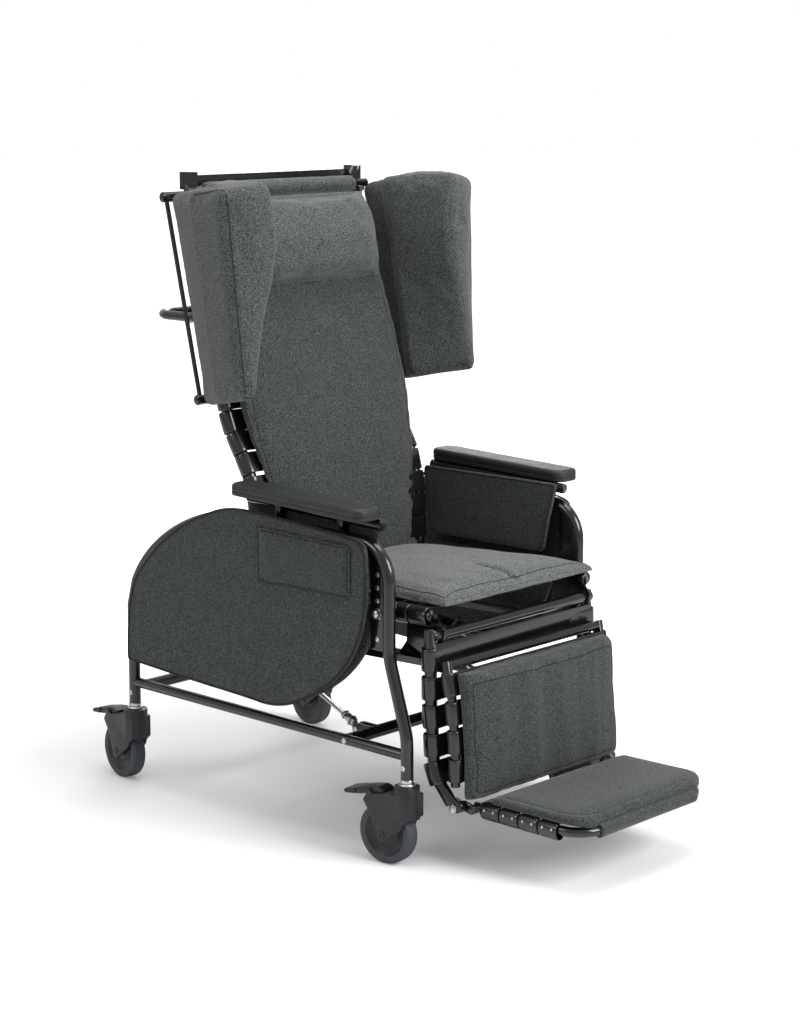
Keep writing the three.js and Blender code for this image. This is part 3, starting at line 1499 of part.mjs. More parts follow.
function headPillow() {
  const rings = pillow_station_shares.map((share) => {
    const height = pillow_foot_height + share * pillow_height;
    const rear = pillowRear(height);
    const bulge = Math.sin(share * Math.PI) ** 0.45;
    const half = pillow_half_width + pillow_edge * ((share * 2 - 1) ** 2 - pillow_waist_share);
    const least = pillow_edge / 2;
    const depth = mix(pillow_edge, pillow_thickness, bulge) - least;
    const face = pillow_across_shares.map((u) => at(u * half, rear - least
      - depth * fullCrown(u) ** 0.6, height));
    const back = pillow_rear_shares.map((u) => at(u * half, rear, height));
    return [...face, ...back];
  });
  return loft(rings);
}

// The padded roll wraps the top cross tube and closes the pad's upper end.
function backRoll() {
  const bore = boreRadius(light_tube_radius, seat_gap, tube_sides);
  const rows = [
    [bore, -roll_half_length], [roll_radius - roll_edge, -roll_half_length],
    [roll_radius, -roll_half_length + roll_edge], [roll_radius, roll_half_length - roll_edge],
    [roll_radius - roll_edge, roll_half_length], [bore, roll_half_length],
  ];
  return turned(rows, at(0, rollSetback(), roll_height), at(1, 0, 0), tube_sides);
}

function topBar() {
  const rear = back_top_setback + frame_tube_radius;
  const plate = block(-back_half_width, back_half_width, rear - top_bar_thickness, rear,
    top_bar_height - top_bar_depth / 2, top_bar_height + top_bar_depth / 2);
  const blocks = [left_side, right_side].map((side) => block(side * (back_half_width - top_block_width / 2),
    side * (back_half_width + top_block_width / 2), back_top_setback - top_block_depth / 2,
    back_top_setback + top_block_depth / 2, top_block_foot_height, top_block_foot_height + top_block_height));
  const tools = [left_side, right_side].map((side) => backTube(side, seat_gap));
  return cut(fuse(plate, ...blocks), ...tools, rollTube(seat_gap));
}

// Wings.

function wingBarSetback(height) {
  const lean = backLean();
  const offset = strapOuter(frame_tube_radius) + rail_tube_radius + seat_gap - wing_bar_seating;
  return backLine(height) + offset / lean.z;
}

function wingBar(height, extra = 0) {
  return crossBar(-wing_bar_reach - extra, wing_bar_reach + extra, wingBarSetback(height), height,
    rail_tube_radius + extra);
}

function wingRod(side) {
  const x = side * wing_rod_half_width;
  const low = at(x, wingBarSetback(wing_low_bar_height), wing_low_bar_height);
  const high = at(x, wingBarSetback(wing_high_bar_height), wing_high_bar_height);
  return bar(low, high, pin_radius, rod_sides);
}

function wingRail() {
  return fuse(wingBar(wing_low_bar_height), wingBar(wing_high_bar_height), wingRod(left_side), wingRod(right_side));
}

function rodSetback(height) {
  const share = (height - wing_low_bar_height) / (wing_high_bar_height - wing_low_bar_height);
  return mix(wingBarSetback(wing_low_bar_height), wingBarSetback(wing_high_bar_height), share);
}

// The plan outline of a wing at one station, as half widths and setbacks.
function wingPlan({ share, face: face_share, lead: lead_share }) {
  const face = wing_face_width * face_share;
  const lead = wing_ridge_lead * lead_share;
  const middle = mix(wing_low_height, wing_high_height, share);
  const front = mix(wing_low_front, wing_high_front, share);
  const out = mix(wing_low_out, wing_high_out, share);
  const ridge = out - face;
  const rear = rodSetback(middle) - wing_rear_clearance;
  const root = Math.min(mix(wing_low_root, wing_high_root, share), strapFront(middle));
  const root_in = mix(wing_low_root_in, wing_high_root_in, share);
  const side_rear = Math.min(rear, backLine(middle));
  const depth = rear - front;
  const [side_out, side_forward] = wing_side_shares;
  const [inner_in, inner_rear] = wing_inner_shares;
  const points = [
    [wing_rod_half_width, rear],
    [mix(wing_rod_half_width, out, side_out) + wing_edge_draw, mix(rear, front, side_forward)],
    [out, front + depth * wing_corner_share],
    [out - wing_edge_draw, front],
    [out - face * wing_face_share, front - lead * wing_face_share - wing_edge_draw / 2],
    [out - face * wing_ridge_share, front - lead * wing_ridge_share],
    [ridge, front - lead + wing_edge_draw],
    [mix(ridge, root_in, inner_in), mix(front - lead, root, inner_rear)],
    [root_in, root - depth * wing_root_share],
    [root_in + wing_edge_draw / 2, root],
    [wing_notch_in, root],
    [wing_notch_in + wing_edge_draw, side_rear],
  ];
  return { middle, rear, ridge, out, depth, points };
}

// The rise of a wing's ends towards the front, less at the foot than at the top.
function wingRise(share, forward) {
  return mix(wing_low_front_rise * forward, wing_high_front_rise * Math.sin((forward * Math.PI) / 2), share);
}

function wing(side) {
  const rings = wing_station_shares.map((station) => {
    const { middle, rear, ridge, out, depth, points } = wingPlan(station);
    const centre_x = points.reduce((sum, [x]) => sum + x, 0) / points.length;
    const centre_y = points.reduce((sum, [, y]) => sum + y, 0) / points.length;
    return points.map(([x, y]) => {
      const forward = Math.min(1, (rear - y) / depth);
      const inward = Math.min(1, (out - x) / (out - ridge));
      return at(side * mix(centre_x, x, station.size), mix(centre_y, y, station.size),
        middle + wingRise(station.share, forward) + wing_inner_rise * station.share * inward);
    });
  });
  return cut(loft(rings), wingBar(wing_low_bar_height, seat_gap), wingBar(wing_high_bar_height, seat_gap));
}

// Legrest.

// A place set out from the legrest pivot, in shares of the drop to the toe.
function legrestPlace(x, [setback_share, height_share]) {
  return at(x, legrest_pivot_setback + setback_share * legrest_drop,
    legrest_pivot_height + height_share * legrest_drop);
}

function legrestStations(side) {
  const x = side * legrest_half_width;
  return bentStations([
    ...legrest_shares.map((row) => legrestPlace(x, row)),
    at(x, legrest_toe_setback, legrest_toe_height),
  ], legrest_bend_radius);
}

function legrestTube(side, extra = 0) {
  return sweep(legrestStations(side), frame_tube_radius + extra);
}

function legrestBar() {
  const rear = legrestStations(left_side)[0].y - frame_tube_radius + weld_depth;
  return block(-legrest_half_width, legrest_half_width, rear - legrest_bar_thickness, rear,
    legrest_bar_top_height - legrest_bar_height, legrest_bar_top_height);
}

function footrestHingePin(side) {
  const outer = legrest_half_width + frame_tube_radius;
  const inner = footrest_lug_half_width - lug_thickness;
  return [
    lug(legrest_toe_setback, legrest_toe_height, footrest_pivot_setback, footrest_pivot_height, lug_radius,
      side * (legrest_half_width - frame_tube_radius), side * (outer - frame_tube_radius)),
    crossBar(side * inner, side * outer, footrest_pivot_setback, footrest_pivot_height, pin_radius, pin_sides),
  ];
}

function legrestFrame() {
  const hinge = crossBar(-legrest_half_width, legrest_half_width, legrest_pivot_setback, legrest_pivot_height,
    rail_tube_radius);
  return fuse(hinge, legrestTube(left_side), legrestTube(right_side), legrestBar(), ...footrestHingePin(left_side),
    ...footrestHingePin(right_side));
}

function legrestStraps() {
  const tools = [left_side, right_side].flatMap((side) => [legrestTube(side, seat_gap)]);
  const tube_front = legrestStations(left_side)[0].y - frame_tube_radius;
  const bar_room = block(-legrest_half_width * 2, legrest_half_width * 2, tube_front - frame_tube_radius,
    tube_front + weld_depth + seat_gap, legrest_bar_top_height - legrest_bar_height - seat_gap,
    legrest_bar_top_height + seat_gap);
  return strapSet(legrestStations(left_side), at(0, -1, 0), legrest_half_width, frame_tube_radius,
    legrest_strap_start, legrest_strap_end, legrest_strap_pitch, ...tools, bar_room, ...calfTies(seat_gap));
}

function calfPath(side) {
  return calf_shares.map((row) => legrestPlace(side * calf_half_width, row));
}

function calfTube(side, extra = 0) {
  return sweep(calfPath(side), light_tube_radius + extra);
}

// Ties run from the calf frame to the front of the legrest tubes.
function calfTie(height, y_front, extra = 0) {
  const half = calf_block_depth / 2;
  const rear = pathSetback(legrestStations(left_side), height - half) - frame_tube_radius - calf_tie_seating;
  return [left_side, right_side].map((side) => block(side * (calf_half_width - calf_block_width / 2 - extra),
    side * (calf_half_width + calf_block_width / 4 + extra), y_front - extra, rear + extra, height - half - extra,
    height + half + extra));
}

function calfTies(extra = 0) {
  const [top, , , foot] = calfPath(left_side);
  return [
    ...calfTie(top.z - calf_top_tie_drop, top.y, extra),
    ...calfTie(foot.z + calf_foot_tie_rise, foot.y, extra),
  ];
}

function calfFrame() {
  const [top] = calfPath(left_side);
  const cross = crossBar(-calf_half_width, calf_half_width, top.y, top.z - light_tube_radius, light_tube_radius);
  return fuse(calfTube(left_side), calfTube(right_side), cross, ...calfTies());
}

function calfStraps() {
  const [top] = calfPath(left_side);
  const cross = crossBar(-calf_half_width, calf_half_width, top.y, top.z - light_tube_radius,
    light_tube_radius + seat_gap);
  const tools = [left_side, right_side].map((side) => calfTube(side, seat_gap));
  return strapSet(calfPath(left_side), at(0, -1, 0), calf_half_width, light_tube_radius, calf_strap_start,
    calf_strap_end, calf_strap_pitch, ...tools, cross, ...calfTies(seat_gap));
}

function calfStrapFront(height) {
  return pathSetback(calfPath(left_side), height) - strapOuter(light_tube_radius) - seat_gap;
}

function calfPad() {
  const [top, , , foot] = calfPath(left_side);
  const rings = calf_pad_station_shares.map((share) => {
    const height = mix(foot.z - calf_pad_foot_drop, top.z - calf_pad_top_drop, share);
    const rear = calfStrapFront(height) - calf_pad_clearance;
    const tight = share === 0 || share === 1 ? calf_pad_end_share : 0;
    const front = mix(mix(foot.y - calf_pad_foot_lead, top.y - calf_pad_top_lead, share), rear, tight);
    const face = calf_pad_across_shares.map((u) => {
      const fold = calf_pad_fold * Math.cos(u * Math.PI * calf_pad_fold_count) * (1 - Math.abs(u));
      const edge = (1 - crispCrown(u)) * calf_pad_edge;
      return at(u * calf_pad_half_width, front + fold + edge, height);
    });
    const back = calf_pad_rear_shares.map((u) => at(u * calf_pad_half_width,
      Math.abs(u) === 1 ? rear - calf_pad_edge / 2 : rear, height));
    return [...face, ...back];
  });
  return loft(rings);
}

// Footrest.

function footrestStations() {
  const x = footrest_half_width;
  return bentStations([
    at(-x, footrest_rear, footrest_height), at(-x, footrest_front, footrest_height),
    at(x, footrest_front, footrest_height), at(x, footrest_rear, footrest_height),
  ], footrest_corner_radius);
}

function footrestTube(extra = 0) {
  return sweep(footrestStations(), footrest_tube_radius + extra);
}

function footrestFrame() {
  const reach = footrest_lug_half_width + lug_thickness / 2;
  const rail_setback = footrest_rear - footrest_tube_radius;
  const rear = crossBar(-reach, reach, rail_setback, footrest_height, footrest_rail_radius);
  const lugs = [left_side, right_side].map((side) => lug(rail_setback, footrest_height, footrest_pivot_setback,
    footrest_pivot_height, spring_eye_radius, side * (reach - lug_thickness), side * reach));
  const bores = [left_side, right_side].map((side) => crossBar(side * (reach - lug_thickness - cut_overrun),
    side * (reach + cut_overrun), footrest_pivot_setback, footrest_pivot_height,
    boreRadius(pin_radius, running_gap, pin_sides), pin_sides));
  return cut(fuse(footrestTube(), rear, ...lugs), ...bores);
}

function footrestStraps() {
  const stations = [at(0, footrest_rear, footrest_height), at(0, footrest_front, footrest_height)];
  return strapSet(stations, at(0, 0, 1), footrest_half_width, footrest_tube_radius, footrest_strap_start,
    footrest_strap_end, footrest_strap_pitch, footrestTube(seat_gap));
}

function footrestPad() {
  const foot = footrest_height + strapOuter(footrest_tube_radius) + seat_gap;
  const rings = footrest_pad_station_shares.map((share) => {
    const y = mix(footrest_pad_rear, footrest_pad_front, share);
    const front_run = Math.max(0, (footrest_pad_front + footrest_pad_corner - y) / footrest_pad_corner);
    const inset = footrest_pad_corner * (1 - Math.sqrt(Math.max(0, 1 - front_run ** 2)));
    const half = footrest_pad_half_width - inset * footrest_pad_corner_share;
    const swell = share === 0 || share === 1 ? footrest_pad_end_share : 1;
    const face = footrest_pad_across_shares.map((u) => {
      const lift = mix(footrest_pad_edge, footrest_pad_thickness, crispCrown(u) * swell);
      return at(u * half, y, foot + lift);
    });
    const under = footrest_pad_under_shares.map((u) => at(u * half, y, foot));
    return [...face, ...under];
  });
  return loft(rings);
}

function footrestSleeve() {
  const inner = boreRadius(footrest_tube_radius, seat_gap, tube_sides);
  const rows = [
    [inner, -sleeve_half_length], [inner + sleeve_thickness, -sleeve_half_length],
    [inner + sleeve_thickness, sleeve_half_length], [inner, sleeve_half_length],
  ];
  return turned(rows, at(0, footrest_front, footrest_height), at(1, 0, 0), tube_sides);
}

// Release lever and cable.

function releaseLever() {
  const y = push_bar_reach;
  const half = lever_width / 2;
  const z = push_bar_height - lever_drop;
  const hub = bar(at(lever_offset, y - half, z), at(lever_offset, y + half, z), lever_hub_radius, pin_sides);
  const blade = block(lever_offset - lever_length, lever_offset, y - half, y + half, z - lever_thickness / 2,
    z + lever_thickness / 2);
  const bore = bar(at(lever_offset, y - lever_width, z), at(lever_offset, y + lever_width, z),
    lever_pin_radius + running_gap, pin_sides);
  return cut(fuse(hub, blade), bore);
}

function releaseCable() {
  const curve = new THREE.CatmullRomCurve3(cable_route.map(([x, y, z]) => at(x, y, z)));
  return sweep(curve.getSpacedPoints(cable_steps), cable_radius, cable_sides);
}

// Assembly.

const chair = new THREE.Group();

for (const side of [right_side, left_side]) {
  const name = sideName(side);
  chair.add(named(`side_frame_${name}`, sideFrame(side), paint()));
  chair.add(named(`side_panel_${name}`, outerPanel(side), fabric()));
  chair.add(named(`inner_side_panel_${name}`, innerPanel(side), fabric()));
  chair.add(named(`arm_frame_${name}`, armFrame(side), paint()));
  chair.add(named(`arm_pad_${name}`, armPad(side), moulding()));
  chair.add(named(`arm_panel_${name}`, armPanel(side), fabric()));
  chair.add(caster(side, 0, front_caster_turn_degrees, 'front'));
  chair.add(caster(side, wheelbase, rear_caster_turn_degrees, 'rear'));
  chair.add(named(`seat_side_${name}`, seatSide(side), paint()));
  const [anchor, eye] = tiltSpringEnds(side);
  const reach = eye.clone().sub(anchor);
  const rod = springRod(anchor, reach, reach.length() * tilt_spring_rod_share);
  const barrel = springBody(eye, reach.clone().negate(), reach.length() * tilt_spring_body_share);
  chair.add(named(`tilt_spring_rod_${name}`, cut(rod, springBore(anchor.x, anchor.y, anchor.z)), chrome()));
  chair.add(named(`tilt_spring_body_${name}`, barrel, paint()));
  chair.add(named(`wing_pad_${name}`, wing(side), fabric()));
}
chair.add(named('side_pocket_right', sidePocket(right_side), fabric()));
chair.add(named('front_cross_tube', frontCrossTube(), paint()));
chair.add(named('rear_cross_tube', crossTube(rear_cross_setback), paint()));
chair.add(named('seat_front_cross', seatFrontCross(), paint()));
chair.add(named('seat_rear_cross', seatRearCross(), paint()));
chair.add(named('seat_straps', seatStraps(), vinyl()));
chair.add(named('seat_cushion', seatCushion(), fabric()));
const [recline_anchor, recline_eye] = reclineSpringEnds();
const recline_reach = recline_eye.clone().sub(recline_anchor);
const recline_barrel = springBody(recline_anchor, recline_reach,
  recline_reach.length() * recline_spring_body_share);
chair.add(named('recline_spring_body', cut(recline_barrel,
  springBore(recline_anchor.x, recline_anchor.y, recline_anchor.z)), paint()));
chair.add(named('recline_spring_rod', springRod(recline_eye, recline_reach.clone().negate(),
  recline_reach.length() * recline_spring_rod_share), chrome()));
chair.add(named('back_frame', backFrame(), paint()));
chair.add(named('back_straps', backStraps(), vinyl()));
chair.add(named('back_pad', backPad(), fabric()));
chair.add(named('back_roll', backRoll(), fabric()));
chair.add(named('head_pillow', headPillow(), fabric()));
chair.add(named('back_top_bar', topBar(), paint()));
chair.add(named('wing_rail', wingRail(), paint()));
chair.add(named('legrest_frame', legrestFrame(), paint()));
chair.add(named('legrest_straps', legrestStraps(), vinyl()));
chair.add(named('calf_frame', calfFrame(), paint()));
chair.add(named('calf_straps', calfStraps(), vinyl()));
chair.add(named('calf_pad', calfPad(), fabric()));
chair.add(named('footrest_frame', footrestFrame(), paint()));
chair.add(named('footrest_straps', footrestStraps(), vinyl()));
chair.add(named('footrest_pad', footrestPad(), fabric()));
chair.add(named('footrest_sleeve', footrestSleeve(), fabric()));
chair.add(named('release_lever', releaseLever(), moulding()));
chair.add(named('release_cable', releaseCable(), cable_jacket()));

// The origin is the middle of the box that the chair fills, on the floor.
chair.updateMatrixWorld(true);
const bounds = new THREE.Box3().setFromObject(chair, true);
const middle = bounds.getCenter(at(0, 0, 0));
chair.position.set(-middle.x, -middle.y, -bounds.min.z);

export default chair;
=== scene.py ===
"""Tilt in space wheelchair: upholstery, straps, frame, casters and stage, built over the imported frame."""

import json
import math

import bmesh
import bpy
import numpy as np
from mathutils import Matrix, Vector
from mathutils.bvhtree import BVHTree

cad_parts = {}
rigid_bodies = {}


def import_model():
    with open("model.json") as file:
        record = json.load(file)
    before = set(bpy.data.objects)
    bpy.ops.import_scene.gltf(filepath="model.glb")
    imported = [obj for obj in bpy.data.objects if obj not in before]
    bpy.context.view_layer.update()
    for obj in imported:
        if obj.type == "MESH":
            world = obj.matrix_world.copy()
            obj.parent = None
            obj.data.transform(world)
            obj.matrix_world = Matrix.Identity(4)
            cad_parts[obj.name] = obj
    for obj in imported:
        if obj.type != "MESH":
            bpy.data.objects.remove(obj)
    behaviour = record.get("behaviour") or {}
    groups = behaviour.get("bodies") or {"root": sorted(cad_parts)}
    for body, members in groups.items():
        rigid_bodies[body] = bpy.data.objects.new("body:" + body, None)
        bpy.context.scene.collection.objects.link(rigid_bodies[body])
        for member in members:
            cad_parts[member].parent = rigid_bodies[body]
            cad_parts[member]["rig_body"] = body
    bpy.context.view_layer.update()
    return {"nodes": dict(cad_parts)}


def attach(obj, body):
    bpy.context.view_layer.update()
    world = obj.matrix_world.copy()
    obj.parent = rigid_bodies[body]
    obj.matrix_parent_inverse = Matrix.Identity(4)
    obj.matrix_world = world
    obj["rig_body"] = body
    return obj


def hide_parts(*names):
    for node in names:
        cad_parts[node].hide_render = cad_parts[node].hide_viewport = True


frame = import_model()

bl_info = {
    "name": "Tilt in space wheelchair",
    "version": (1, 0, 0),
    "blender": (4, 5, 0),
    "location": "3D View > Sidebar > Wheelchair",
    "description": "Makes the pieces, finishes and stage of a tilt in space wheelchair",
    "category": "Object",
}

# Lengths are millimetres, with y measured from the front caster stems, until placed() turns them to metres.
# In metres are the stems' own distance, the stage, and what a comment says is.
stem_line = 0.290984
sides = {"right": -1, "left": 1}


# Colours and nodes.

def linear(hex_colour):
    """sRGB hex to linear RGBA: value / 12.92 in the toe, else ((value + 0.055) / 1.055) ^ 2.4."""
    values = np.array([int(hex_colour[place:place + 2], 16) for place in (1, 3, 5)]) / 255
    made = np.where(values <= 0.04045, values / 12.92, ((values + 0.055) / 1.055) ** 2.4)
    return (*made.tolist(), 1.0)


def add(tree, kind, values=None, links=None, **settings):
    """Adds a shader node, sets its own settings and its sockets' values, and links sockets to outputs."""
    made = tree.nodes.new("ShaderNode" + kind)
    for key, value in settings.items():
        setattr(made, key, value)
    for key, value in (values or {}).items():
        made.inputs[key].default_value = value
    for key, output in (links or {}).items():
        tree.links.new(output, made.inputs[key])
    return made


def new_material(name):
    """An empty node material with its output."""
    made = bpy.data.materials.new(name)
    made.use_nodes = True
    made.node_tree.nodes.clear()
    output = add(made.node_tree, "OutputMaterial")
    return made, made.node_tree, output


def shaded(colour, factor):
    """A linear colour made darker or lighter by one factor."""
    return (*[min(1.0, part * factor) for part in colour[:3]], 1.0)


def woven_polyester(name, colour, sheen):
    """Woven polyester upholstery, piece-dyed in heathered yarn: dark and pale flecks 2-3 mm long, a fine grid
    of threads in the bump, and a faint sheen at grazing angles. A noise's scale is 1000 / its size in mm.
    Threads are 1.6 mm apart, coarser than the real 0.8 mm, because the real ones are too fine to show."""
    fleck_size, pale_size, cloud_size, pucker_size, thread_scale = 2.8, 2.6, 55.0, 30.0, 196.0
    material, tree, output = new_material(name)
    coords = add(tree, "TexCoord").outputs["Object"]
    longer = add(tree, "Mapping", {"Scale": (1.0, 1.0, 1.6)}, {"Vector": coords}).outputs[0]
    fleck, pale, cloud, puckers = [
        add(tree, "TexNoise", {"Scale": 1000 / size, "Detail": detail, "Roughness": rough},
            {"Vector": place}).outputs["Fac"]
        for size, detail, rough, place in ((fleck_size, 2.0, 0.6, coords), (pale_size, 1.0, 0.5, longer),
                                           (cloud_size, 3.0, 0.5, coords), (pucker_size, 2.0, 0.45, coords))]
    # Each pattern is stretched between two levels and lays its tone over what is below, up to a last share.
    base, darkest = None, shaded(colour, 0.34)
    for pattern, low, high, most, tone in ((fleck, 0.42, 0.58, 1.0, 1.5), (pale, 0.58, 0.68, 0.8, 3.1),
                                           (cloud, 0.3, 0.7, 0.22, 0.7)):
        share = add(tree, "MapRange", {"From Min": low, "From Max": high, "To Max": most},
                    {"Value": pattern}).outputs[0]
        below = {6: base} if base else {}
        base = add(tree, "Mix", {6: darkest, 7: shaded(colour, tone)}, {0: share, **below},
                   data_type="RGBA").outputs[2]
    threads = [add(tree, "TexWave", {"Scale": thread_scale, "Distortion": 1.5, "Detail": 1.0},
                   {"Vector": coords}, wave_type="BANDS", bands_direction=axis).outputs["Fac"]
               for axis in "XYZ"]
    grid = add(tree, "Math", None, {0: threads[0], 1: threads[1]}, operation="ADD").outputs[0]
    grid = add(tree, "Math", None, {0: grid, 1: threads[2]}, operation="ADD").outputs[0]
    lumps = add(tree, "Math", {1: 1.4}, {0: fleck, 2: grid}, operation="MULTIPLY_ADD").outputs[0]
    bump = add(tree, "Bump", {"Strength": 0.35, "Distance": 0.0006}, {"Height": lumps}).outputs[0]
    bump = add(tree, "Bump", {"Strength": 0.25, "Distance": 0.003},
               {"Height": puckers, "Normal": bump}).outputs[0]
    shader = add(tree, "BsdfPrincipled",
                 {"Roughness": 0.88, "Sheen Weight": sheen, "Sheen Roughness": 0.45, "IOR": 1.5,
                  "Specular IOR Level": 0.25}, {"Base Color": base, "Normal": bump})
    tree.links.new(shader.outputs[0], output.inputs[0])
    return material


def hard_finish(name, colour, metallic=0.0, roughness=0.4, coat=0.0, grain=0.8, depth=0.0001, strength=0.1,
                wear=0.12):
    """A hard finish: one colour that varies softly over cloud_size, a roughness that follows it, and a grain
    in the bump, grain mm across. The metal, index and coat are set on the shader."""
    cloud_size = 18.0
    material, tree, output = new_material(name)
    coords = add(tree, "TexCoord").outputs["Object"]
    cloud, fine = [
        add(tree, "TexNoise", {"Scale": 1000 / size, "Detail": detail, "Roughness": rough},
            {"Vector": coords}).outputs["Fac"]
        for size, detail, rough in ((cloud_size, 4.0, 0.6), (grain, 2.0, 0.5))]
    share = add(tree, "MapRange", {"From Min": 0.35, "From Max": 0.65}, {"Value": cloud}).outputs[0]
    base = add(tree, "Mix", {6: shaded(colour, 1 - wear), 7: shaded(colour, 1 + wear)}, {0: share},
               data_type="RGBA").outputs[2]
    rough = add(tree, "MapRange",
                {"From Min": 0.3, "From Max": 0.7, "To Min": roughness * (1 - wear),
                 "To Max": roughness * (1 + wear)}, {"Value": cloud}).outputs[0]
    bump = add(tree, "Bump", {"Strength": strength, "Distance": depth}, {"Height": fine}).outputs[0]
    shader = add(tree, "BsdfPrincipled",
                 {"Metallic": metallic, "IOR": 1.5, "Coat Weight": coat, "Coat Roughness": 0.12},
                 {"Base Color": base, "Roughness": rough, "Normal": bump})
    tree.links.new(shader.outputs[0], output.inputs[0])
    return material


# Each finish: its slot, name and colour, and the values that its function takes; only cloth has a sheen.
# A colour without # is one of the user's own.
finishes = {
    # Heathered charcoal woven upholstery, one cloth whose colour differs by part as painted light and shade.
    **{part: ("upholstery", f"woven_polyester_{part}", f"{part}_colour", {"sheen": sheen})
       for part, sheen in (("seat", 0.22), ("back", 0.22), ("wing", 0.22), ("side", 0.15), ("calf", 0.22))},
    # Twisted sewing thread, near black and dull, and the pocket edge's dark line of painted shade.
    "thread": ("upholstery", "polyester_thread", "#1b1d20",
               {"roughness": 0.85, "grain": 0.9, "depth": 0.0003, "strength": 0.5, "wear": 0.2}),
    # Powder coat on steel: black, glossy, with a faint orange peel about a millimetre and a half across.
    "paint": ("frame_paint", "powder_coated_steel", "frame_colour",
              {"roughness": 0.22, "coat": 0.5, "grain": 1.6, "depth": 0.0002, "strength": 0.12, "wear": 0.1}),
    # Calendered vinyl: smooth, wet-looking black with soft highlights.
    "vinyl": ("strap_vinyl", "calendered_vinyl", "strap_colour",
              {"roughness": 0.2, "coat": 0.4, "grain": 2.5, "depth": 0.0003, "strength": 0.15}),
    # Polyurethane foam moulded with a skin: matt charcoal, finely pebbled.
    "moulding": ("moulding", "moulded_polyurethane", "#1d1f21",
                 {"roughness": 0.55, "grain": 1.2, "depth": 0.0002, "strength": 0.3}),
    # Glass-filled nylon: dark charcoal with a dull shine.
    "nylon": ("moulding", "moulded_nylon", "#1a1b1d",
              {"roughness": 0.42, "grain": 1.4, "strength": 0.25}),
    # Polypropylene wheel centre: charcoal, a little shinier than the nylon.
    "hub": ("moulding", "moulded_polypropylene", "#191a1c", {"grain": 1.5, "strength": 0.2}),
    # Grey rubber tread: blue-grey, matt, with a little dust.
    "tread": ("wheel_tyre", "thermoplastic_rubber", "#42464c",
              {"roughness": 0.72, "grain": 1.0, "depth": 0.0002, "strength": 0.3, "wear": 0.2}),
    # Zinc plate on steel: bright grey metal, a soft, slightly cloudy mirror.
    "zinc": ("bright_rod", "zinc_plated_steel", "#c9cbcd",
             {"metallic": 1.0, "roughness": 0.28, "grain": 0.9, "strength": 0.15, "wear": 0.1}),
    # Hard chrome on the spring rods: a near mirror.
    "chrome": ("bright_rod", "chromed_steel", "#dcdde0",
               {"metallic": 1.0, "roughness": 0.12, "depth": 0.00003, "wear": 0.05}),
    # Extruded PVC jacket on the cable: black, satin.
    "jacket": ("cable_jacket", "pvc_jacket", "#17181a", {"roughness": 0.45, "strength": 0.2}),
}
made_finishes = {}


def finish_of(used):
    """The named finish, made once. A colour property is linear already."""
    if used not in made_finishes:
        slot, name, colour, values = finishes[used]
        make = woven_polyester if "sheen" in values else hard_finish
        looks = bpy.context.scene.wheelchair_looks
        colour = linear(colour) if colour.startswith("#") else (*getattr(looks, colour)[:], 1.0)
        made_finishes[used] = make(name, colour, **values)
    return made_finishes[used]


# Shapes.

def placed(points):
    """Millimetres from the front stems to metres in the CAD's frame: value / 1000, y less the stems' own."""
    made = np.array(points, float) / 1000
    made[..., 1] -= stem_line
    return made


class Shape:
    """Collects grids of points, in millimetres, and makes one closed mesh of them."""

    def __init__(self):
        self.points, self.faces, self.count = [], [], 0

    def grid(self, rows, ring=False):
        """Joins row i to row i + 1 by quads, each row closed on itself. The first and last rows are joined
        when ring is set, and are otherwise closed by one face each."""
        rows = np.asarray(rows, float)
        count, around = rows.shape[:2]
        i = np.arange(count if ring else count - 1)[:, None]
        j = np.arange(around)[None, :]
        after, beside = (i + 1) % count, (j + 1) % around
        quads = np.stack(np.broadcast_arrays(i * around + j, i * around + beside, after * around + beside,
                                             after * around + j), axis=-1).reshape(-1, 4) + self.count
        self.faces += quads.tolist()
        if not ring:
            self.faces.append((np.arange(around)[::-1] + self.count).tolist())
            self.faces.append((np.arange(around) + (count - 1) * around + self.count).tolist())
        self.points.append(rows.reshape(-1, 3))
        self.count += count * around
        return self

    def build(self, name, body, used, replaced=()):
        """Makes the object, with faces outward, smooth except at sharp edges, and hands it to a body."""
        mesh = bpy.data.meshes.new(name)
        mesh.from_pydata(placed(np.concatenate(self.points)).tolist(), [], self.faces)
        work = bmesh.new()
        work.from_mesh(mesh)
        bmesh.ops.recalc_face_normals(work, faces=work.faces)
        work.to_mesh(mesh)
        work.free()
        mesh.shade_smooth()
        mesh.set_sharp_from_angle(angle=math.radians(50))
        return handed(name, mesh, body, used, replaced)


def handed(name, mesh, body, used, replaced=()):
    """Makes an object of a finished mesh, gives it its finish, and sets it on its body."""
    piece = bpy.data.objects.new(name, mesh)
    bpy.context.scene.collection.objects.link(piece)
    mesh.materials.append(finish_of(used))
    if replaced:
        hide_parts(*replaced)
    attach(piece, body)
    return piece


def rounded(corners, radii, closed=False, step=0.16):
    """A line through corners, each turned on an arc that starts radius x tan(turn / 2) before its corner."""
    corners = np.asarray(corners, float)
    if closed:
        corners = np.concatenate([corners[-1:], corners, corners[:1]])
    radii = np.broadcast_to(radii, len(corners) - 2)
    straight = 1e-4
    made = [] if closed else [corners[:1]]
    for before, corner, after, radius in zip(corners[:-2], corners[1:-1], corners[2:], radii):
        back = (before - corner) / np.linalg.norm(before - corner)
        on = (after - corner) / np.linalg.norm(after - corner)
        turn = math.pi - math.acos(float(np.clip(back @ on, -1, 1)))
        if turn < straight:
            made.append(corner[None])
            continue
        start = corner + back * radius * math.tan(turn / 2)
        centre = corner + (back + on) / np.linalg.norm(back + on) * radius / math.cos(turn / 2)
        along = np.linspace(0, turn, max(3, int(turn / step) + 2))[:, None]
        made.append(centre + (start - centre) * np.cos(along) - back * radius * np.sin(along))
    if not closed:
        made.append(corners[-1:])
    return np.concatenate(made)


def rectangle(near, low, far, high):
    """The four corners of a rectangle, round from (near, low)."""
    return [(near, low), (far, low), (far, high), (near, high)]


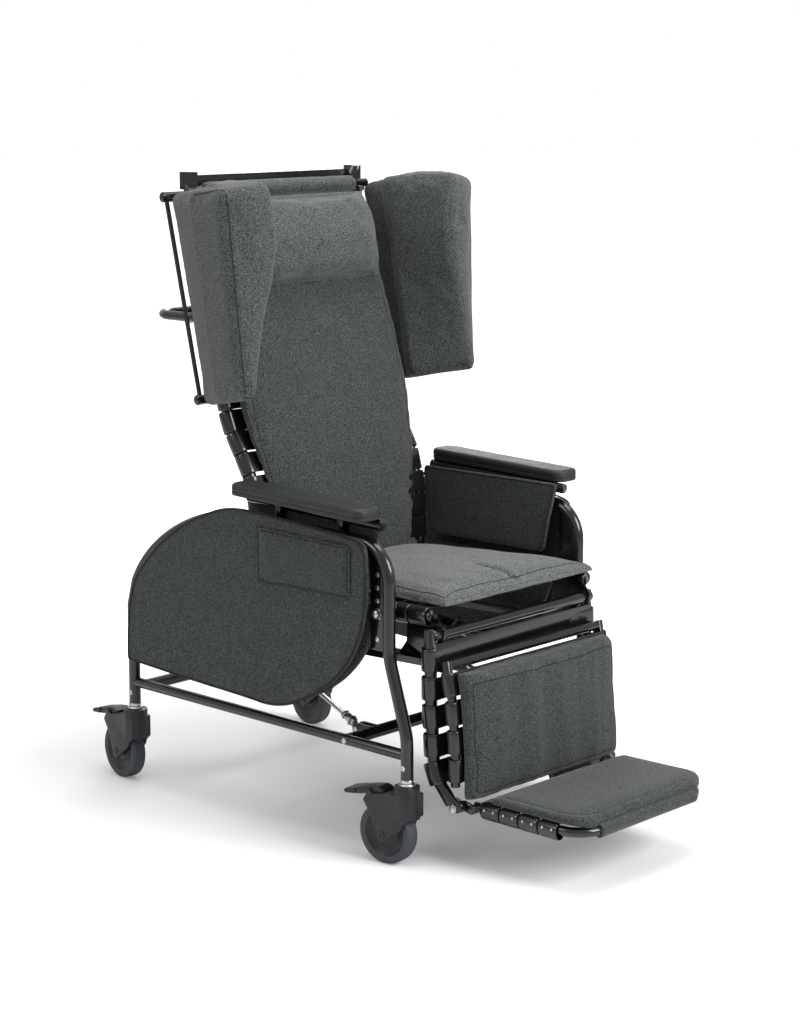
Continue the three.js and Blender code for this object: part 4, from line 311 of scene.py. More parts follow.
def at_lengths(path, lengths):
    """Points of a line at the given lengths from its start, straight between its own points."""
    run = np.concatenate([[0], np.cumsum(np.linalg.norm(np.diff(path, axis=0), axis=1))])
    return np.stack([np.interp(lengths, run, path[:, axis]) for axis in range(path.shape[1])], axis=1)


def tube(path, radius, around=20, edge=1.0):
    """A tube: ring = point + radius x (cos a x side + sin a x up). Side is the path's flattest direction, up
    the cross product of tangent and side, and the ends close on a quarter-round edge."""
    path = np.asarray(path, float)
    tangents = np.gradient(path, axis=0)
    tangents /= np.linalg.norm(tangents, axis=1)[:, None]
    spin = np.linalg.svd(path - path.mean(0))[2][2]
    if len(path) == 2 or np.linalg.norm(np.cross(tangents, tangents[0]), axis=1).max() < 1e-6:
        spin = np.cross(tangents[0], [0.31, 0.2, 0.93])
    swing = np.linspace(0, math.pi / 2, 4)[1:, None]
    shrinking = radius - edge * (1 - np.cos(swing[:, 0]))
    radii = np.concatenate([shrinking[::-1], np.full(len(path), radius), shrinking])
    path = np.concatenate([path[:1] - tangents[:1] * edge * (np.sin(swing[::-1]) - 1),
                           path[:1] + tangents[:1] * edge, path[1:-1], path[-1:] - tangents[-1:] * edge,
                           path[-1:] + tangents[-1:] * edge * (np.sin(swing) - 1)])
    tangents = np.concatenate([np.repeat(tangents[:1], 3, 0), tangents, np.repeat(tangents[-1:], 3, 0)])
    side = spin - tangents * (tangents @ spin)[:, None]
    side /= np.linalg.norm(side, axis=1)[:, None]
    up = np.cross(tangents, side)
    angle = np.arange(around) / around * math.tau
    ring = np.cos(angle)[None, :, None] * side[:, None] + np.sin(angle)[None, :, None] * up[:, None]
    return path[:, None] + radii[:, None, None] * ring


def turned(centre, axis, profile, around=32):
    """A turned form: ring = centre + along x axis + radius x (cos a x side + sin a x up)."""
    centre, axis = np.asarray(centre, float), np.asarray(axis, float)
    axis = axis / np.linalg.norm(axis)
    side = np.cross(axis, [0.0, 0.0, 1.0] if abs(axis[2]) < 0.9 else [1.0, 0.0, 0.0])
    side /= np.linalg.norm(side)
    up = np.cross(axis, side)
    angle = np.arange(around) / around * math.tau
    radius, along = np.asarray(profile, float).T
    ring = np.cos(angle)[None, :, None] * side + np.sin(angle)[None, :, None] * up
    return centre + along[:, None, None] * axis + radius[:, None, None] * ring


def hex_head(centre, axis, across, height):
    """A hexagon bolt head with a chamfered top: six sides whose radius draws in over the last fifth."""
    half = across / math.sqrt(3)
    return turned(centre, axis, [(half, 0), (half, height * 0.8), (half * 0.86, height)], 6)


def dome(centre, axis, radius, height, around=14):
    """A rivet head: radius x cos a at height x sin a, closed at a small top face."""
    swing = np.linspace(0, 1.45, 5)
    return turned(centre, axis, np.stack([radius * np.cos(swing), height * np.sin(swing)], 1), around)


def shrunk(outline, inset):
    """An outline drawn in on every side, about its middle: by (half extent - inset) / half extent."""
    middle = (outline.min(0) + outline.max(0)) / 2
    half = (outline.max(0) - outline.min(0)) / 2
    return middle + (outline - middle) * (half - inset) / half


def cut_corners(outline):
    """Each corner of a closed outline is cut at a quarter and three quarters of its sides, twice over."""
    for _ in range(2):
        after = np.roll(outline, -1, 0)
        outline = np.stack([outline * 0.75 + after * 0.25, outline * 0.25 + after * 0.75], 1).reshape(-1, 2)
    return outline


def stack(outline, rows, to_space):
    """Rows of (inset, height): the outline drawn in by inset, and put at that height by to_space."""
    return np.stack([to_space(shrunk(outline, inset), height) for inset, height in rows])


def side_on(side):
    """Puts an outline of (y, z) at a height beyond the middle plane, on one side."""
    return lambda outline, height: np.column_stack([np.full(len(outline), side * height), outline])


def sewn(node, ending, outline, rows, out, side):
    """A padded panel of the base: its outline at each row's inset and rise, the rise counted from out."""
    shape = Shape().grid(stack(outline, [(inset, out + rise) for inset, rise in rows], side_on(side)))
    shape.build(f"{node}_{ending}", "base", "side", [node])


def edging(name, outline, out, radius, around=8):
    """Thread or piping on the base: a tube along a closed outline of (y, z) at the distance out."""
    bead = np.column_stack([np.full(len(outline), out), outline])
    Shape().grid(tube(np.concatenate([bead, bead[:1]]), radius, around)).build(name, "base", "thread")


def rumple(points, size, seed, count=9):
    """A soft unevenness from -1 to 1: the mean of count sines along fixed seeded directions, size mm long."""
    drawn = np.random.default_rng(seed)
    ways = drawn.normal(size=(count, 3))
    ways /= np.linalg.norm(ways, axis=1)[:, None]
    waves = points @ ways.T * 1000 * math.tau / (size * drawn.uniform(0.7, 1.5, count))
    return np.sin(waves + drawn.uniform(0, math.tau, count)).mean(1) * math.sqrt(count) / 2


def soft(size, depth, seed):
    """Uneven filling: a rumple of that size and depth."""
    return lambda points: rumple(points, size, seed) * depth


def pillow_crown(points):
    """A crown of rise x (1 - height share ^ 2) x (1 - width share ^ 6) on the front half, with a rumple."""
    height = np.clip((points[:, 2] - crown_height) / crown_half_height, -1, 1)
    width = np.clip(np.abs(points[:, 0]) / crown_half_width, 0, 1)
    front = np.clip((crown_front - points[:, 1]) / crown_fade, 0, 1)
    return crown_rise * (1 - height ** 2) * (1 - width ** 6) * front + rumple(points, 60, 7) * 1.4


def copied(node, used, bevel=0.0, ending="finished"):
    """A merged copy of a CAD node, shaded smooth except at sharp edges, with an edge radius where asked."""
    source = frame["nodes"][node]
    sharp = math.radians(38)
    work = bmesh.new()
    work.from_mesh(source.data)
    bmesh.ops.remove_doubles(work, verts=work.verts, dist=2e-5)
    mesh = bpy.data.meshes.new(f"{node}_{ending}")
    work.to_mesh(mesh)
    work.free()
    mesh.materials.clear()
    mesh.shade_smooth()
    mesh.set_sharp_from_angle(angle=sharp)
    piece = handed(f"{node}_{ending}", mesh, source["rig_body"], used, [node])
    if used == "paint":
        piece.modifiers.new("Flat faces", "WEIGHTED_NORMAL").keep_sharp = True
    if bevel:
        edges = piece.modifiers.new("Edges", "BEVEL")
        edges.width, edges.segments, edges.angle_limit = bevel / 1000, 2, sharp
        edges.use_clamp_overlap = True
    return piece


def points_of(mesh):
    """A mesh's points and its normals there, as two arrays."""
    points, normals = np.empty((2, len(mesh.vertices) * 3), np.float32)
    mesh.vertices.foreach_get("co", points)
    mesh.vertex_normals.foreach_get("vector", normals)
    return points.reshape(-1, 3).astype(float), normals.reshape(-1, 3).astype(float)


def moved_to(mesh, points):
    """Puts a mesh's points where the array has them."""
    mesh.vertices.foreach_set("co", points.astype(np.float32).ravel())
    mesh.update()


def settled(piece, cap, rest_way, smooth, shrink):
    """Swells a closed piece as filling does: remeshed, smoothed, drawn in by shrink mm, then blown up as
    cloth under pressure for 20 frames. No point moves further than cap mm; faces turned to rest_way stay."""
    sizes = bpy.context.scene.wheelchair_sizes
    remesh = piece.modifiers.new("Even", "REMESH")
    remesh.mode, remesh.voxel_size = "VOXEL", sizes.cloth_voxel
    even = piece.modifiers.new("Ease", "CORRECTIVE_SMOOTH")
    even.iterations, even.use_only_smooth = smooth, True
    baked(piece)
    start, facing = points_of(piece.data)
    resting = np.clip(facing @ np.array(Vector(rest_way).normalized()), 0, 1)
    free = np.clip(1 - resting * 1.6, 0, 1)[:, None]
    start = start - facing * free * shrink / 1000
    piece.data.vertices.foreach_set("co", start.astype(np.float32).ravel())
    cloth = piece.modifiers.new("Cloth", "CLOTH")
    cloth.settings.use_pressure = True
    cloth.settings.uniform_pressure_force = sizes.cloth_pressure
    cloth.settings.effector_weights.gravity = 0
    cloth.settings.tension_stiffness = cloth.settings.compression_stiffness = 12
    cloth.settings.shear_stiffness = 8
    cloth.collision_settings.use_collision = False
    for count in range(1, 21):
        bpy.context.scene.frame_set(count)
    evaluated = piece.evaluated_get(bpy.context.evaluated_depsgraph_get())
    moved = (points_of(evaluated.data)[0] - start) * free
    reach = np.linalg.norm(moved, axis=1)[:, None]
    moved *= np.minimum(1, cap / 1000 / np.maximum(reach, 1e-9))
    piece.modifiers.remove(cloth)
    bpy.context.scene.frame_set(1)
    start = start + moved
    moved_to(piece.data, start)


def baked(piece, levels=0):
    """Puts what the piece's modifiers make into its mesh, after one subdivision where levels asks for it."""
    if levels:
        fine = piece.modifiers.new("Fine", "SUBSURF")
        fine.levels = fine.render_levels = levels
    bpy.context.view_layer.update()
    evaluated = piece.evaluated_get(bpy.context.evaluated_depsgraph_get())
    mesh = bpy.data.meshes.new_from_object(evaluated)
    mesh.name = piece.name
    old = piece.data
    piece.modifiers.clear()
    piece.data = mesh
    bpy.data.meshes.remove(old)
    mesh.shade_smooth()


def cushion(node, used, cap, rest_way, creases, shrink, smooth=4):
    """A filled piece over its CAD solid: copied, swelled, creased along its normals, made finer."""
    piece = copied(node, used, ending="filled")
    settled(piece, cap, rest_way, smooth, shrink)
    points, facing = points_of(piece.data)
    moved_to(piece.data, points + facing * creases(points)[:, None] / 1000)
    baked(piece, 1)
    return piece


def seam(piece, name, path, radius=0.9):
    """A line of thread: a tube along the path's nearest points on the piece, eased twice."""
    tree = BVHTree.FromObject(piece, bpy.context.evaluated_depsgraph_get())
    points = np.array([tree.find_nearest(Vector(point))[0] for point in placed(path)]) * 1000
    points[:, 1] += stem_line * 1000
    for _ in range(2):
        points[1:-1] = points[1:-1] * 0.5 + (points[:-2] + points[2:]) * 0.25
    Shape().grid(tube(points, radius, 8, radius * 0.6)).build(name, piece["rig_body"], "thread")


# Side hoops, side rails and pivot plates, and what is bolted to them.
frame_tube, rail_tube = 12.7, 11
hoop_out = 290.0
wheelbase = 818
hoop_foot, hoop_top = 172.5, 638
kick_low, kick_high, kick_run = 261, 416, 48
arch_start, arch_drop, arch_power = 472, 238, 1.75
hoop_bends = [110, 110, 75]
rail_height, rail_bolt = 226, 163
stem_bolt_height = 203
plate_corners = rectangle(59.3, 425, 97.3, 617)
plate_rows = ((0.8, -2.5), (0, -2), (0, 2), (0.8, 2.5))
pivot, plate_holes = (78, 499), (448, 525, 551, 577)
hinge_bolt = (250.0, -85, 128)
# Profiles of turned parts, as (radius, distance along the axis).
rail_washer, rail_head = [(6, 0), (6, 1.4), (5.4, 1.8)], (5, 2.6)
pivot_washer, pivot_head = [(12, 0), (12, 1.6), (11.4, 2.2)], (15, 6)
hole_rim = [(5.2, 0), (5.2, 0.8), (4.6, 1.0)]
stem_collar = [(13.2, -0.6), (13.6, 0.4), (13.6, 5), (13.0, 6)]
hinge_washer = [(8.4, 0), (8.4, 1.4), (7.6, 1.8)]
hinge_coil = [(5.2, 0), (6.4, 0.4), (6.4, 0.9), (5.2, 1.3)]
hinge_end = [(4, 0), (4, 0.7), (3.2, 1.1)]
# The stack on the hinge ends 6 mm out, where the fork of the turned caster still clears it.
hinge_stack = ((0, hinge_washer, 24), (1.9, hinge_coil, 20), (3.4, hinge_coil, 20), (4.9, hinge_end, 16))
washer_sink, head_lift, plate_face, pivot_head_lift = 0.6, 1.1, 2.6, 4.8

# The tilt springs' front ends: a clevis pin, then nut, washer, sleeve and nut, each at its length up the rod.
spring_foot, spring_way = (211.0, 205, 226), np.array([0, 0.908, 0.419])
spring_pin_out, spring_pin_head = 11.8, (11, 4)
spring_fittings = (
    (17, [(9.2, 0), (9.8, 0.8), (9.8, 7), (9.2, 8)], 6), (25.4, [(11.5, 0), (11.5, 1.6)], 24),
    (28, [(8, 0), (8.6, 1), (8.6, 13), (7.4, 15)], 24), (44, [(9.2, 0), (9.8, 0.8), (9.8, 5), (9.2, 6)], 6),
)

# Casters: (out, back, turn in degrees) of each stem, and the profiles of tyre, hub, bearings and axle caps.
casters = {f"{end}_{name}": (side * hoop_out, back, turn)
           for end, back, turn in (("front", 0.0, 6.0), ("rear", wheelbase, -7.0))
           for name, side in sides.items()}
wheel_radius, caster_trail = 62.5, 46
tyre_half = [(wheel_radius, 4), (62.2, 10), (61, 13.8), (58, 15.6), (53, 15.4), (47, 14.2)]
tyre = [(radius, -along) for radius, along in tyre_half[::-1]] + tyre_half
hub_face = [(0.5, 11), (9, 11), (10, 10), (16, 9.4), (27, 9), (28, 8), (30, 8), (31, 9), (42, 9.4), (44, 11),
            (46, 13.6), (48.5, 13.8)]
hub = [(radius, -along) for radius, along in hub_face] + hub_face[::-1]
bearing_height, bearing = 165, [(15.4, 0), (16.2, 0.8), (16.2, 3.8), (15.4, 5.4), (14.0, 6.2)]
stem_neck_height, stem_neck = 168, [(11.5, 0), (11.5, 5), (10.5, 6)]
axle_cap_out, axle_cap = 23.6, [(8.5, 0), (8.5, 1.0), (7.8, 1.6), (5.2, 1.7), (4.8, 0.9), (2.5, 0.9)]

# Side panels, as shares of their length and height, with their inner ones, the pocket and the arm panels.
# Rows of sewn pieces are (inset, rise).
panel_front, panel_foot = 86.0, 264.0
panel_length, panel_height = 720.0, 400.0
panel_shares = np.array([
    [0.014, 0.95], [0.13, 0.967], [0.254, 0.98], [0.39, 0.992], [0.499, 1], [0.57, 0.985], [0.639, 0.94],
    [0.715, 0.885], [0.781, 0.81], [0.845, 0.732], [0.896, 0.645], [0.94, 0.56], [0.967, 0.487],
    [0.987, 0.37], [0.997, 0.24], [1, 0.12], [1, 0.06], [0.997, 0.05], [0.96, 0.046], [0.715, 0.025],
    [0.467, 0.012], [0.383, 0], [0.301, 0.03], [0.235, 0.085], [0.181, 0.14], [0.121, 0.22],
    [0.063, 0.333], [0.024, 0.47], [0.004, 0.62], [0, 0.76], [0.003, 0.88],
])
panel_out, piping_out, piping_inset = 303, 316.4, 1.5
panel_rows = [(150, 0.8), (60, 0.6), (14, 0.4), (5, 0.8), (1.2, 2.6), (0, 6), (0, 9), (1.2, 12.4), (5, 14.2),
              (9, 14.1), (22, 14.9), (60, 15.3), (150, 15.6)]
inner_panel_out, inner_panel_top, inner_panel_inset = 267, panel_foot + 250, 2
inner_panel_rows = [(120, 0.6), (12, 0.4), (3, 1), (0, 4), (0, 6), (3, 9), (12, 9.6), (120, 9.4)]
arm_panel_shares = np.array([
    [-0.005, 1.02], [0.05, 0.5], [0.085, 0.06], [0.11, 0], [0.93, 0], [0.96, 0.06], [1, 1],
])
arm_panel_size, arm_panel_place, arm_panel_bends = [378, 150], [88, 530], [6, 14, 14, 8, 8, 14, 6]
arm_panel_out, arm_seam_out, arm_seam_inset, arm_seam_radius = 259.5, 260.4, 3, 1.3
arm_panel_rows = [(60, 0.2), (14, 0.3), (4, 1), (0.6, 3.4), (0, 6.5), (0.6, 9.6), (4, 12), (14, 12.7),
                  (60, 12.8)]
pocket_shares = np.array([[0, 0.04], [1, 0], [1, 1], [0, 0.95]])
pocket_size, pocket_place, pocket_bend, pocket_out = [262, 112], [125, 523], 9, 318.4
pocket_rows = [(30, 0.2), (3, 0.1), (0, 0.8), (0, 4.2), (1.5, 5.2), (5, 5.5), (6, 4.6), (7.4, 5.5), (30, 6.2)]
stitch_corners, stitch_bend, stitch_out = [(129, 529), (383, 525), (383, 630), (129, 626)], 7, -324.0
# A dark tube up the pocket's right edge, painted shade in the gap between pocket and panel.
pocket_gap_shade, pocket_gap_shade_radius = [(-321.5, 386, 523), (-321.5, 387, 635)], 1.6

# Arm pads, on a tube that rises towards the back.
arm_pad_corners, arm_pad_bend = rectangle(270, 82, 337, 458), 22
arm_pad_foot, arm_pad_start, arm_pad_slope = 683.5, 78, 10 / 376
arm_pad_rows = [(14, 0), (2.4, 0.2), (0.6, 1.2), (0, 3), (0, 8.2), (1.2, 9), (1.3, 9.8), (0.1, 10.8), (0, 18),
                (0.8, 21.4), (3, 24), (6.5, 25.2), (12, 25.7), (24, 25.8)]

# Straps: (body, the tubes' line, its distance out, the loop's inner radius and hang, start, pitch, count,
# way out).
back_line = rounded([(462, 491), (466, 632), (489, 718), (554, 824), (667, 1308)], 150)
seat_line = np.array([(-19.0, 500.0), (432.0, 479.0)])
legrest_line = rounded([(-15, 474), (-17, 333), (-26, 186), (-72, 134)], 60)
calf_line = rounded([(-53, 415), (-68, 341), (-79, 222), (-78, 168)], 60)
foot_rail, foot_rail_height = -366.0, 123.5
footrest_line = np.array([(-98.0, foot_rail_height), (foot_rail, foot_rail_height)])
strap_sets = {
    "seat": ("seat", seat_line, 238.0, 14.68, 1.15, 30.0, 50.0, 8, 1),
    "back": ("back", back_line, 242.0, 14.68, 1.15, 57.0, 49.0, 15, 1),
    "legrest": ("legrest", legrest_line, 240.0, 14.68, 1.15, 60.0, 57.0, 5, -1),
    "calf": ("legrest", calf_line, 235.0, 11.2, 1.15, 45.0, 57.0, 4, -1),
    "footrest": ("footrest", footrest_line, 197.0, 11.7, 1.45, 44.0, 49.0, 4, -1),
}
strap_sag, strap_sink, strap_wrap = 3.0, 1.2, (-158, 90)
# The section of a strap: powers of cosine and sine that leave it flat with rounded edges.
strap_width_power, strap_depth_power = 0.35, 0.7
rivet_turn, rivet_sink, rivet_head = math.radians(8), 0.4, (2.6, 1.2, 10)

# Seams: the ends of the seat's front line, and on the left those of its side line and the wings' lines; how
# the back pad's seam leans back, and its half widths by height; the calf pad's corners.
seat_front_seam, seat_side_seam = np.array([[(-226, -33, 560), (226, -33, 560)],
                                            [(228, -30, 560), (190, 405, 560)]])
wing_corner, wing_rise = np.array([(348, 389, 894), (20, 29, 422)])
wing_top_seam, wing_foot_seam = np.array([[(368, 418, 1322), (348, 548, 1300)],
                                          [(349, 386, 893), (269, 374, 891)]])
back_seam_ends, back_seam_front, back_seam_lean, back_seam_inset = (520, 1240), 280, 0.2, 9
back_seam_heights = [500, 600, 680, 755, 830, 870, 980, 1090, 1200, 1262]
back_seam_halves = [184, 205, 222, 237, 247, 249, 243, 228, 214, 206]
calf_seam_corners, calf_seam_bend, calf_seam_front = rectangle(-233, 386, 221, 158), 7, -150.0

# The rise of the pillow's crown in millimetres, and in metres its place and the calf pad's lap over its straps.
crown_rise, crown_height, crown_half_height, crown_half_width = 13, 1.192, 0.096, 0.2
crown_front, crown_fade = 0.29, 0.03
calf_widening, calf_shift = 1.055, [-0.005, -0.002, 0]
calf_hang, calf_hang_top, calf_hang_fade = 0.017, 0.24, 0.08

# The foot pad, which droops over the front rail and thins under the calf pad, and the sleeve on the rail.
sleeve_half_length, sleeve_radius = 150, 13.6
foot_pad_corners, foot_pad_bends = rectangle(-206, -136.5, 206, foot_rail), [14, 14, 50, 50]
foot_pad_foot, foot_droop, foot_droop_start, foot_droop_run = 138.5, 13, -330, 40
foot_thinning, foot_thin_start, foot_thin_run = 0.42, -178, 34
foot_pad_rows = [(40, 0.2), (9, 0), (2.5, 1.6), (0.3, 5.5), (0, 9), (0.4, 12.5), (3, 16), (8, 17.6),
                 (12.4, 17.9), (14, 16.6), (15.6, 18), (26, 19.2), (50, 19.6), (90, 19.4)]

# The stage, in metres, degrees and watts: (name, place, size, power) of each lamp, and the camera.
lamps = (("key", (0.5, -3.6, 2.6), 2.0, 125), ("fill", (-3.4, 1.2, 2.6), 1.6, 26),
         ("top", (0.2, 0.0, 3.6), 2.6, 75), ("rim", (2.8, 2.4, 2.2), 1.6, 36))
lamp_aim = (0, 0, 0.6)
world_level, world_gloss = 0.36, 0.2
floor_half = 30
camera_place, camera_drop, camera_turn = (-3.4565, -3.2557, 1.5453), 10.75, -46.70
camera_lens, camera_shift = 81.13, -0.0051


# Properties.

class WheelchairSizes(bpy.types.PropertyGroup):
    cloth_voxel: bpy.props.FloatProperty(
        name="Cloth cell", description="Size of the cells that padded pieces are remeshed to",
        default=0.006, min=0.003, max=0.02, unit="LENGTH")
    cloth_pressure: bpy.props.FloatProperty(
        name="Filling pressure", description="Pressure that swells padded pieces", default=4, min=0, max=20)
    strap_width: bpy.props.FloatProperty(
        name="Strap width", description="Width of each vinyl strap", default=0.046, unit="LENGTH")
    strap_thickness: bpy.props.FloatProperty(
        name="Strap thickness", description="Thickness of each vinyl strap", default=0.003, unit="LENGTH")
    piping: bpy.props.FloatProperty(
        name="Piping", description="Radius of the side panels' piping", default=0.0026, unit="LENGTH")


def colour(name, part, hex_colour):
    """A colour property of the part named, with its default written as sRGB hex."""
    return bpy.props.FloatVectorProperty(name=name, description=f"Colour of the {part}", subtype="COLOR",
                                         default=linear(hex_colour)[:3], min=0, max=1)


class WheelchairLooks(bpy.types.PropertyGroup):
    # One cloth: the seat's lighter colour is painted light; back, sides and legrest darker as painted shade.
    seat_colour: colour("Seat", "seat cushion's cloth", "#595c5b")
    back_colour: colour("Back", "back pad's cloth", "#3e4141")
    wing_colour: colour("Wings", "wings' and pillow's cloth", "#4b4e4f")
    side_colour: colour("Sides", "side panels' cloth", "#3d4041")
    calf_colour: colour("Legrest", "calf and foot pads' cloth", "#3b3e3e")
    frame_colour: colour("Frame", "powder coat", "#0d0e0f")
    strap_colour: colour("Straps", "vinyl straps", "#16171a")


# Operators, one for each group of like pieces.

class WHEELCHAIR_OT_frames(bpy.types.Operator):
    """Side hoops, seat, back, legrest and footrest frames in coated tube"""
    bl_idname = "wheelchair.frames"
    bl_label = "Frames"

    def hoop(self, x):
        """A hoop's middle line: straights and arcs to the arch, which falls by
        drop x (1 - (1 - share ^ power) ^ (1 / power)), then the rear upright."""
        front = rounded([(x, 0, hoop_foot), (x, 0, kick_low), (x, kick_run, kick_high),
                         (x, kick_run, hoop_top), (x, arch_start, hoop_top)], hoop_bends)
        share = np.linspace(0, 1, 22)[1:]
        fall = arch_drop * (1 - (1 - share ** arch_power) ** (1 / arch_power))
        run = arch_start + (wheelbase - arch_start) * share
        arch = np.column_stack([np.full(len(share), x), run, hoop_top - fall])
        return np.concatenate([front, arch, [(x, wheelbase, hoop_foot)]])

    def execute(self, context):
        for node in ("seat_side_right", "seat_side_left", "seat_front_cross", "seat_rear_cross", "back_frame",
                     "back_top_bar", "legrest_frame", "calf_frame", "footrest_frame", "wing_rail",
                     "front_cross_tube", "rear_cross_tube", "arm_frame_right", "arm_frame_left"):
            copied(node, "paint")
        plate = rounded(plate_corners, 6, True)
        for name, side in sides.items():
            x, out = hoop_out * side, (side, 0, 0)
            shape = Shape().grid(tube(self.hoop(x), frame_tube, 24))
            shape.grid(tube([(x, 0, rail_height), (x, wheelbase, rail_height)], rail_tube))
            shape.grid(stack(plate, [(inset, x + depth) for inset, depth in plate_rows], side_on(1)))
            shape.build(f"side_frame_{name}_finished", "base", "paint", [f"side_frame_{name}"])
            bolts = Shape()
            for y, z, proud in ((rail_bolt, rail_height, rail_tube), (0, stem_bolt_height, frame_tube),
                                (wheelbase, stem_bolt_height, frame_tube)):
                bolts.grid(turned((x + side * (proud - washer_sink), y, z), out, rail_washer, 20))
                bolts.grid(dome((x + side * (proud + head_lift), y, z), out, *rail_head))
            bolts.grid(turned((x + side * plate_face, *pivot), out, pivot_washer))
            bolts.grid(hex_head((x + side * pivot_head_lift, *pivot), out, *pivot_head))
            for z in plate_holes:
                bolts.grid(turned((x + side * plate_face, pivot[0], z), out, hole_rim, 20))
            bolts.build(f"side_bolts_{name}", "base", "zinc")
            plugs = Shape()
            for y in (0, wheelbase):
                plugs.grid(turned((x, y, hoop_foot), (0, 0, 1), stem_collar))
            plugs.build(f"stem_collars_{name}", "base", "zinc")
            hinge, spot = Shape(), np.array(hinge_bolt) * [side, 1, 1]
            for lift, profile, around in hinge_stack:
                hinge.grid(turned(spot + [side * lift, 0, 0], out, profile, around))
            hinge.build(f"footrest_hinge_bolt_{name}", "legrest", "zinc")
        return {"FINISHED"}


class WHEELCHAIR_OT_springs(bpy.types.Operator):
    """Gas springs of the tilt and the recline"""
    bl_idname = "wheelchair.springs"
    bl_label = "Springs"

    def execute(self, context):
        for part, used in (("body", "paint"), ("rod", "chrome")):
            for node in (f"tilt_spring_{part}_right", f"tilt_spring_{part}_left", f"recline_spring_{part}"):
                copied(node, used)
        for name, side in sides.items():
            foot = np.array(spring_foot) * [side, 1, 1]
            fittings, heads = Shape(), Shape()
            for length, profile, around in spring_fittings:
                fittings.grid(turned(foot + spring_way * length, spring_way, profile, around))
            fittings.build(f"tilt_spring_fittings_{name}", f"tilt_rod_{name}", "zinc")
            for way in (-1, 1):
                heads.grid(hex_head(foot + [way * spring_pin_out, 0, 0], (way, 0, 0), *spring_pin_head))
            heads.build(f"tilt_spring_pins_{name}", "base", "zinc")
        return {"FINISHED"}


class WHEELCHAIR_OT_casters(bpy.types.Operator):
    """Swivel casters: forks, wheels, pedals and their bright bearings"""
    bl_idname = "wheelchair.casters"
    bl_label = "Casters"

    def execute(self, context):
        for place, (x, y, turn) in casters.items():
            copied(f"caster_fork_{place}", "nylon", bevel=1.6)
            copied(f"brake_pedal_{place}", "nylon", bevel=0.8)
            swing = math.radians(turn)
            axle = np.array([math.cos(swing), math.sin(swing), 0])
            trail = np.array([-math.sin(swing), math.cos(swing), 0])
            centre = np.array([x, y, wheel_radius]) + trail * caster_trail
            Shape().grid(turned(centre, axle, tyre, 72), ring=True).build(
                f"caster_tyre_{place}", f"wheel_{place}", "tread", [f"caster_wheel_{place}"])
            Shape().grid(turned(centre, axle, hub, 64)).build(f"caster_hub_{place}", f"wheel_{place}", "hub")
            bright, dark = Shape(), Shape()
            bright.grid(turned((x, y, bearing_height), (0, 0, 1), bearing))
            bright.grid(turned((x, y, stem_neck_height), (0, 0, 1), stem_neck))
            for way in (-1, 1):
                dark.grid(turned(centre + axle * axle_cap_out * way, axle * way, axle_cap, 24))
            bright.build(f"caster_bright_{place}", f"fork_{place}", "zinc")
            dark.build(f"caster_axle_caps_{place}", f"fork_{place}", "nylon")
        return {"FINISHED"}


class WHEELCHAIR_OT_straps(bpy.types.Operator):
    """Vinyl straps looped round the tubes, with their rivets"""
    bl_idname = "wheelchair.straps"
    bl_label = "Straps"

    def loop(self, half, middle, hang):
        """A strap's middle line as (sideways, outward), and its outward normals: an arc of 248 degrees round
        each tube, whose depth below is x hang, and a run that sags by sag x (1 - share squared)."""
        wrap = np.radians(np.linspace(*strap_wrap, 22))
        arc = np.column_stack([middle * np.cos(wrap), middle * np.sin(wrap) * np.where(wrap < 0, hang, 1)])
        across = np.linspace(half - 1, 1 - half, 25)[1:-1]
        sag = strap_sag * (1 - (across / half) ** 2)
        hook = arc + [half, 0]
        level = middle - strap_sink - sag
        path = np.concatenate([hook, np.column_stack([across, level]), (hook * [-1, 1])[::-1]])
        run = np.gradient(path, axis=0)
        run /= np.linalg.norm(run, axis=1)[:, None]
        face = np.column_stack([run[:, 1], -run[:, 0]])
        outward = np.concatenate([arc, np.column_stack([across * 0, across * 0 + 1]), (arc * [-1, 1])[::-1]])
        return path, face * np.sign((face * outward).sum(1))[:, None]

    def execute(self, context):
        sizes = context.scene.wheelchair_sizes
        wide, thick = sizes.strap_width * 500, sizes.strap_thickness * 500
        angle = np.linspace(0, math.tau, 16, endpoint=False)
        lean = np.abs(np.cos(angle)) ** strap_width_power * np.sign(np.cos(angle)) * wide
        rise = np.abs(np.sin(angle)) ** strap_depth_power * np.sign(np.sin(angle)) * thick
        for name, (body, line, half, inner, hang, start, pitch, count, way) in strap_sets.items():
            riveted = name == "footrest"
            path, face = self.loop(half, inner + thick, hang)
            loops, rivets = Shape(), Shape()
            for place in start + pitch * np.arange(count):
                before, spot, after = at_lengths(line, [place - 4, place, place + 4])
                along = (after - before) / np.linalg.norm(after - before)
                out = np.array([-along[1], along[0]]) * way
                # Point = spot + path's x sideways + path's rise outward + section's lean along the tube.
                depth = path[:, None, 1] + face[:, None, 1] * rise
                side = path[:, None, 0] + face[:, None, 0] * rise
                loops.grid(np.stack([side, spot[0] + depth * out[0] + lean * along[0],
                                     spot[1] + depth * out[1] + lean * along[1]], axis=-1))
                radius = inner + thick * 2 - rivet_sink
                for sign, share in ((-1, -0.5), (-1, 0.5), (1, -0.5), (1, 0.5)) if riveted else ():
                    low = spot + out * radius * math.sin(rivet_turn) + along * wide * share
                    aim = (sign * math.cos(rivet_turn), *(out * math.sin(rivet_turn)))
                    centre = (sign * (half + radius * math.cos(rivet_turn)), *low)
                    rivets.grid(dome(centre, aim, *rivet_head))
            loops.build(f"{name}_strap_loops", body, "vinyl", [f"{name}_straps"])
            if riveted:
                rivets.build(f"{name}_strap_rivets", body, "zinc")
        return {"FINISHED"}


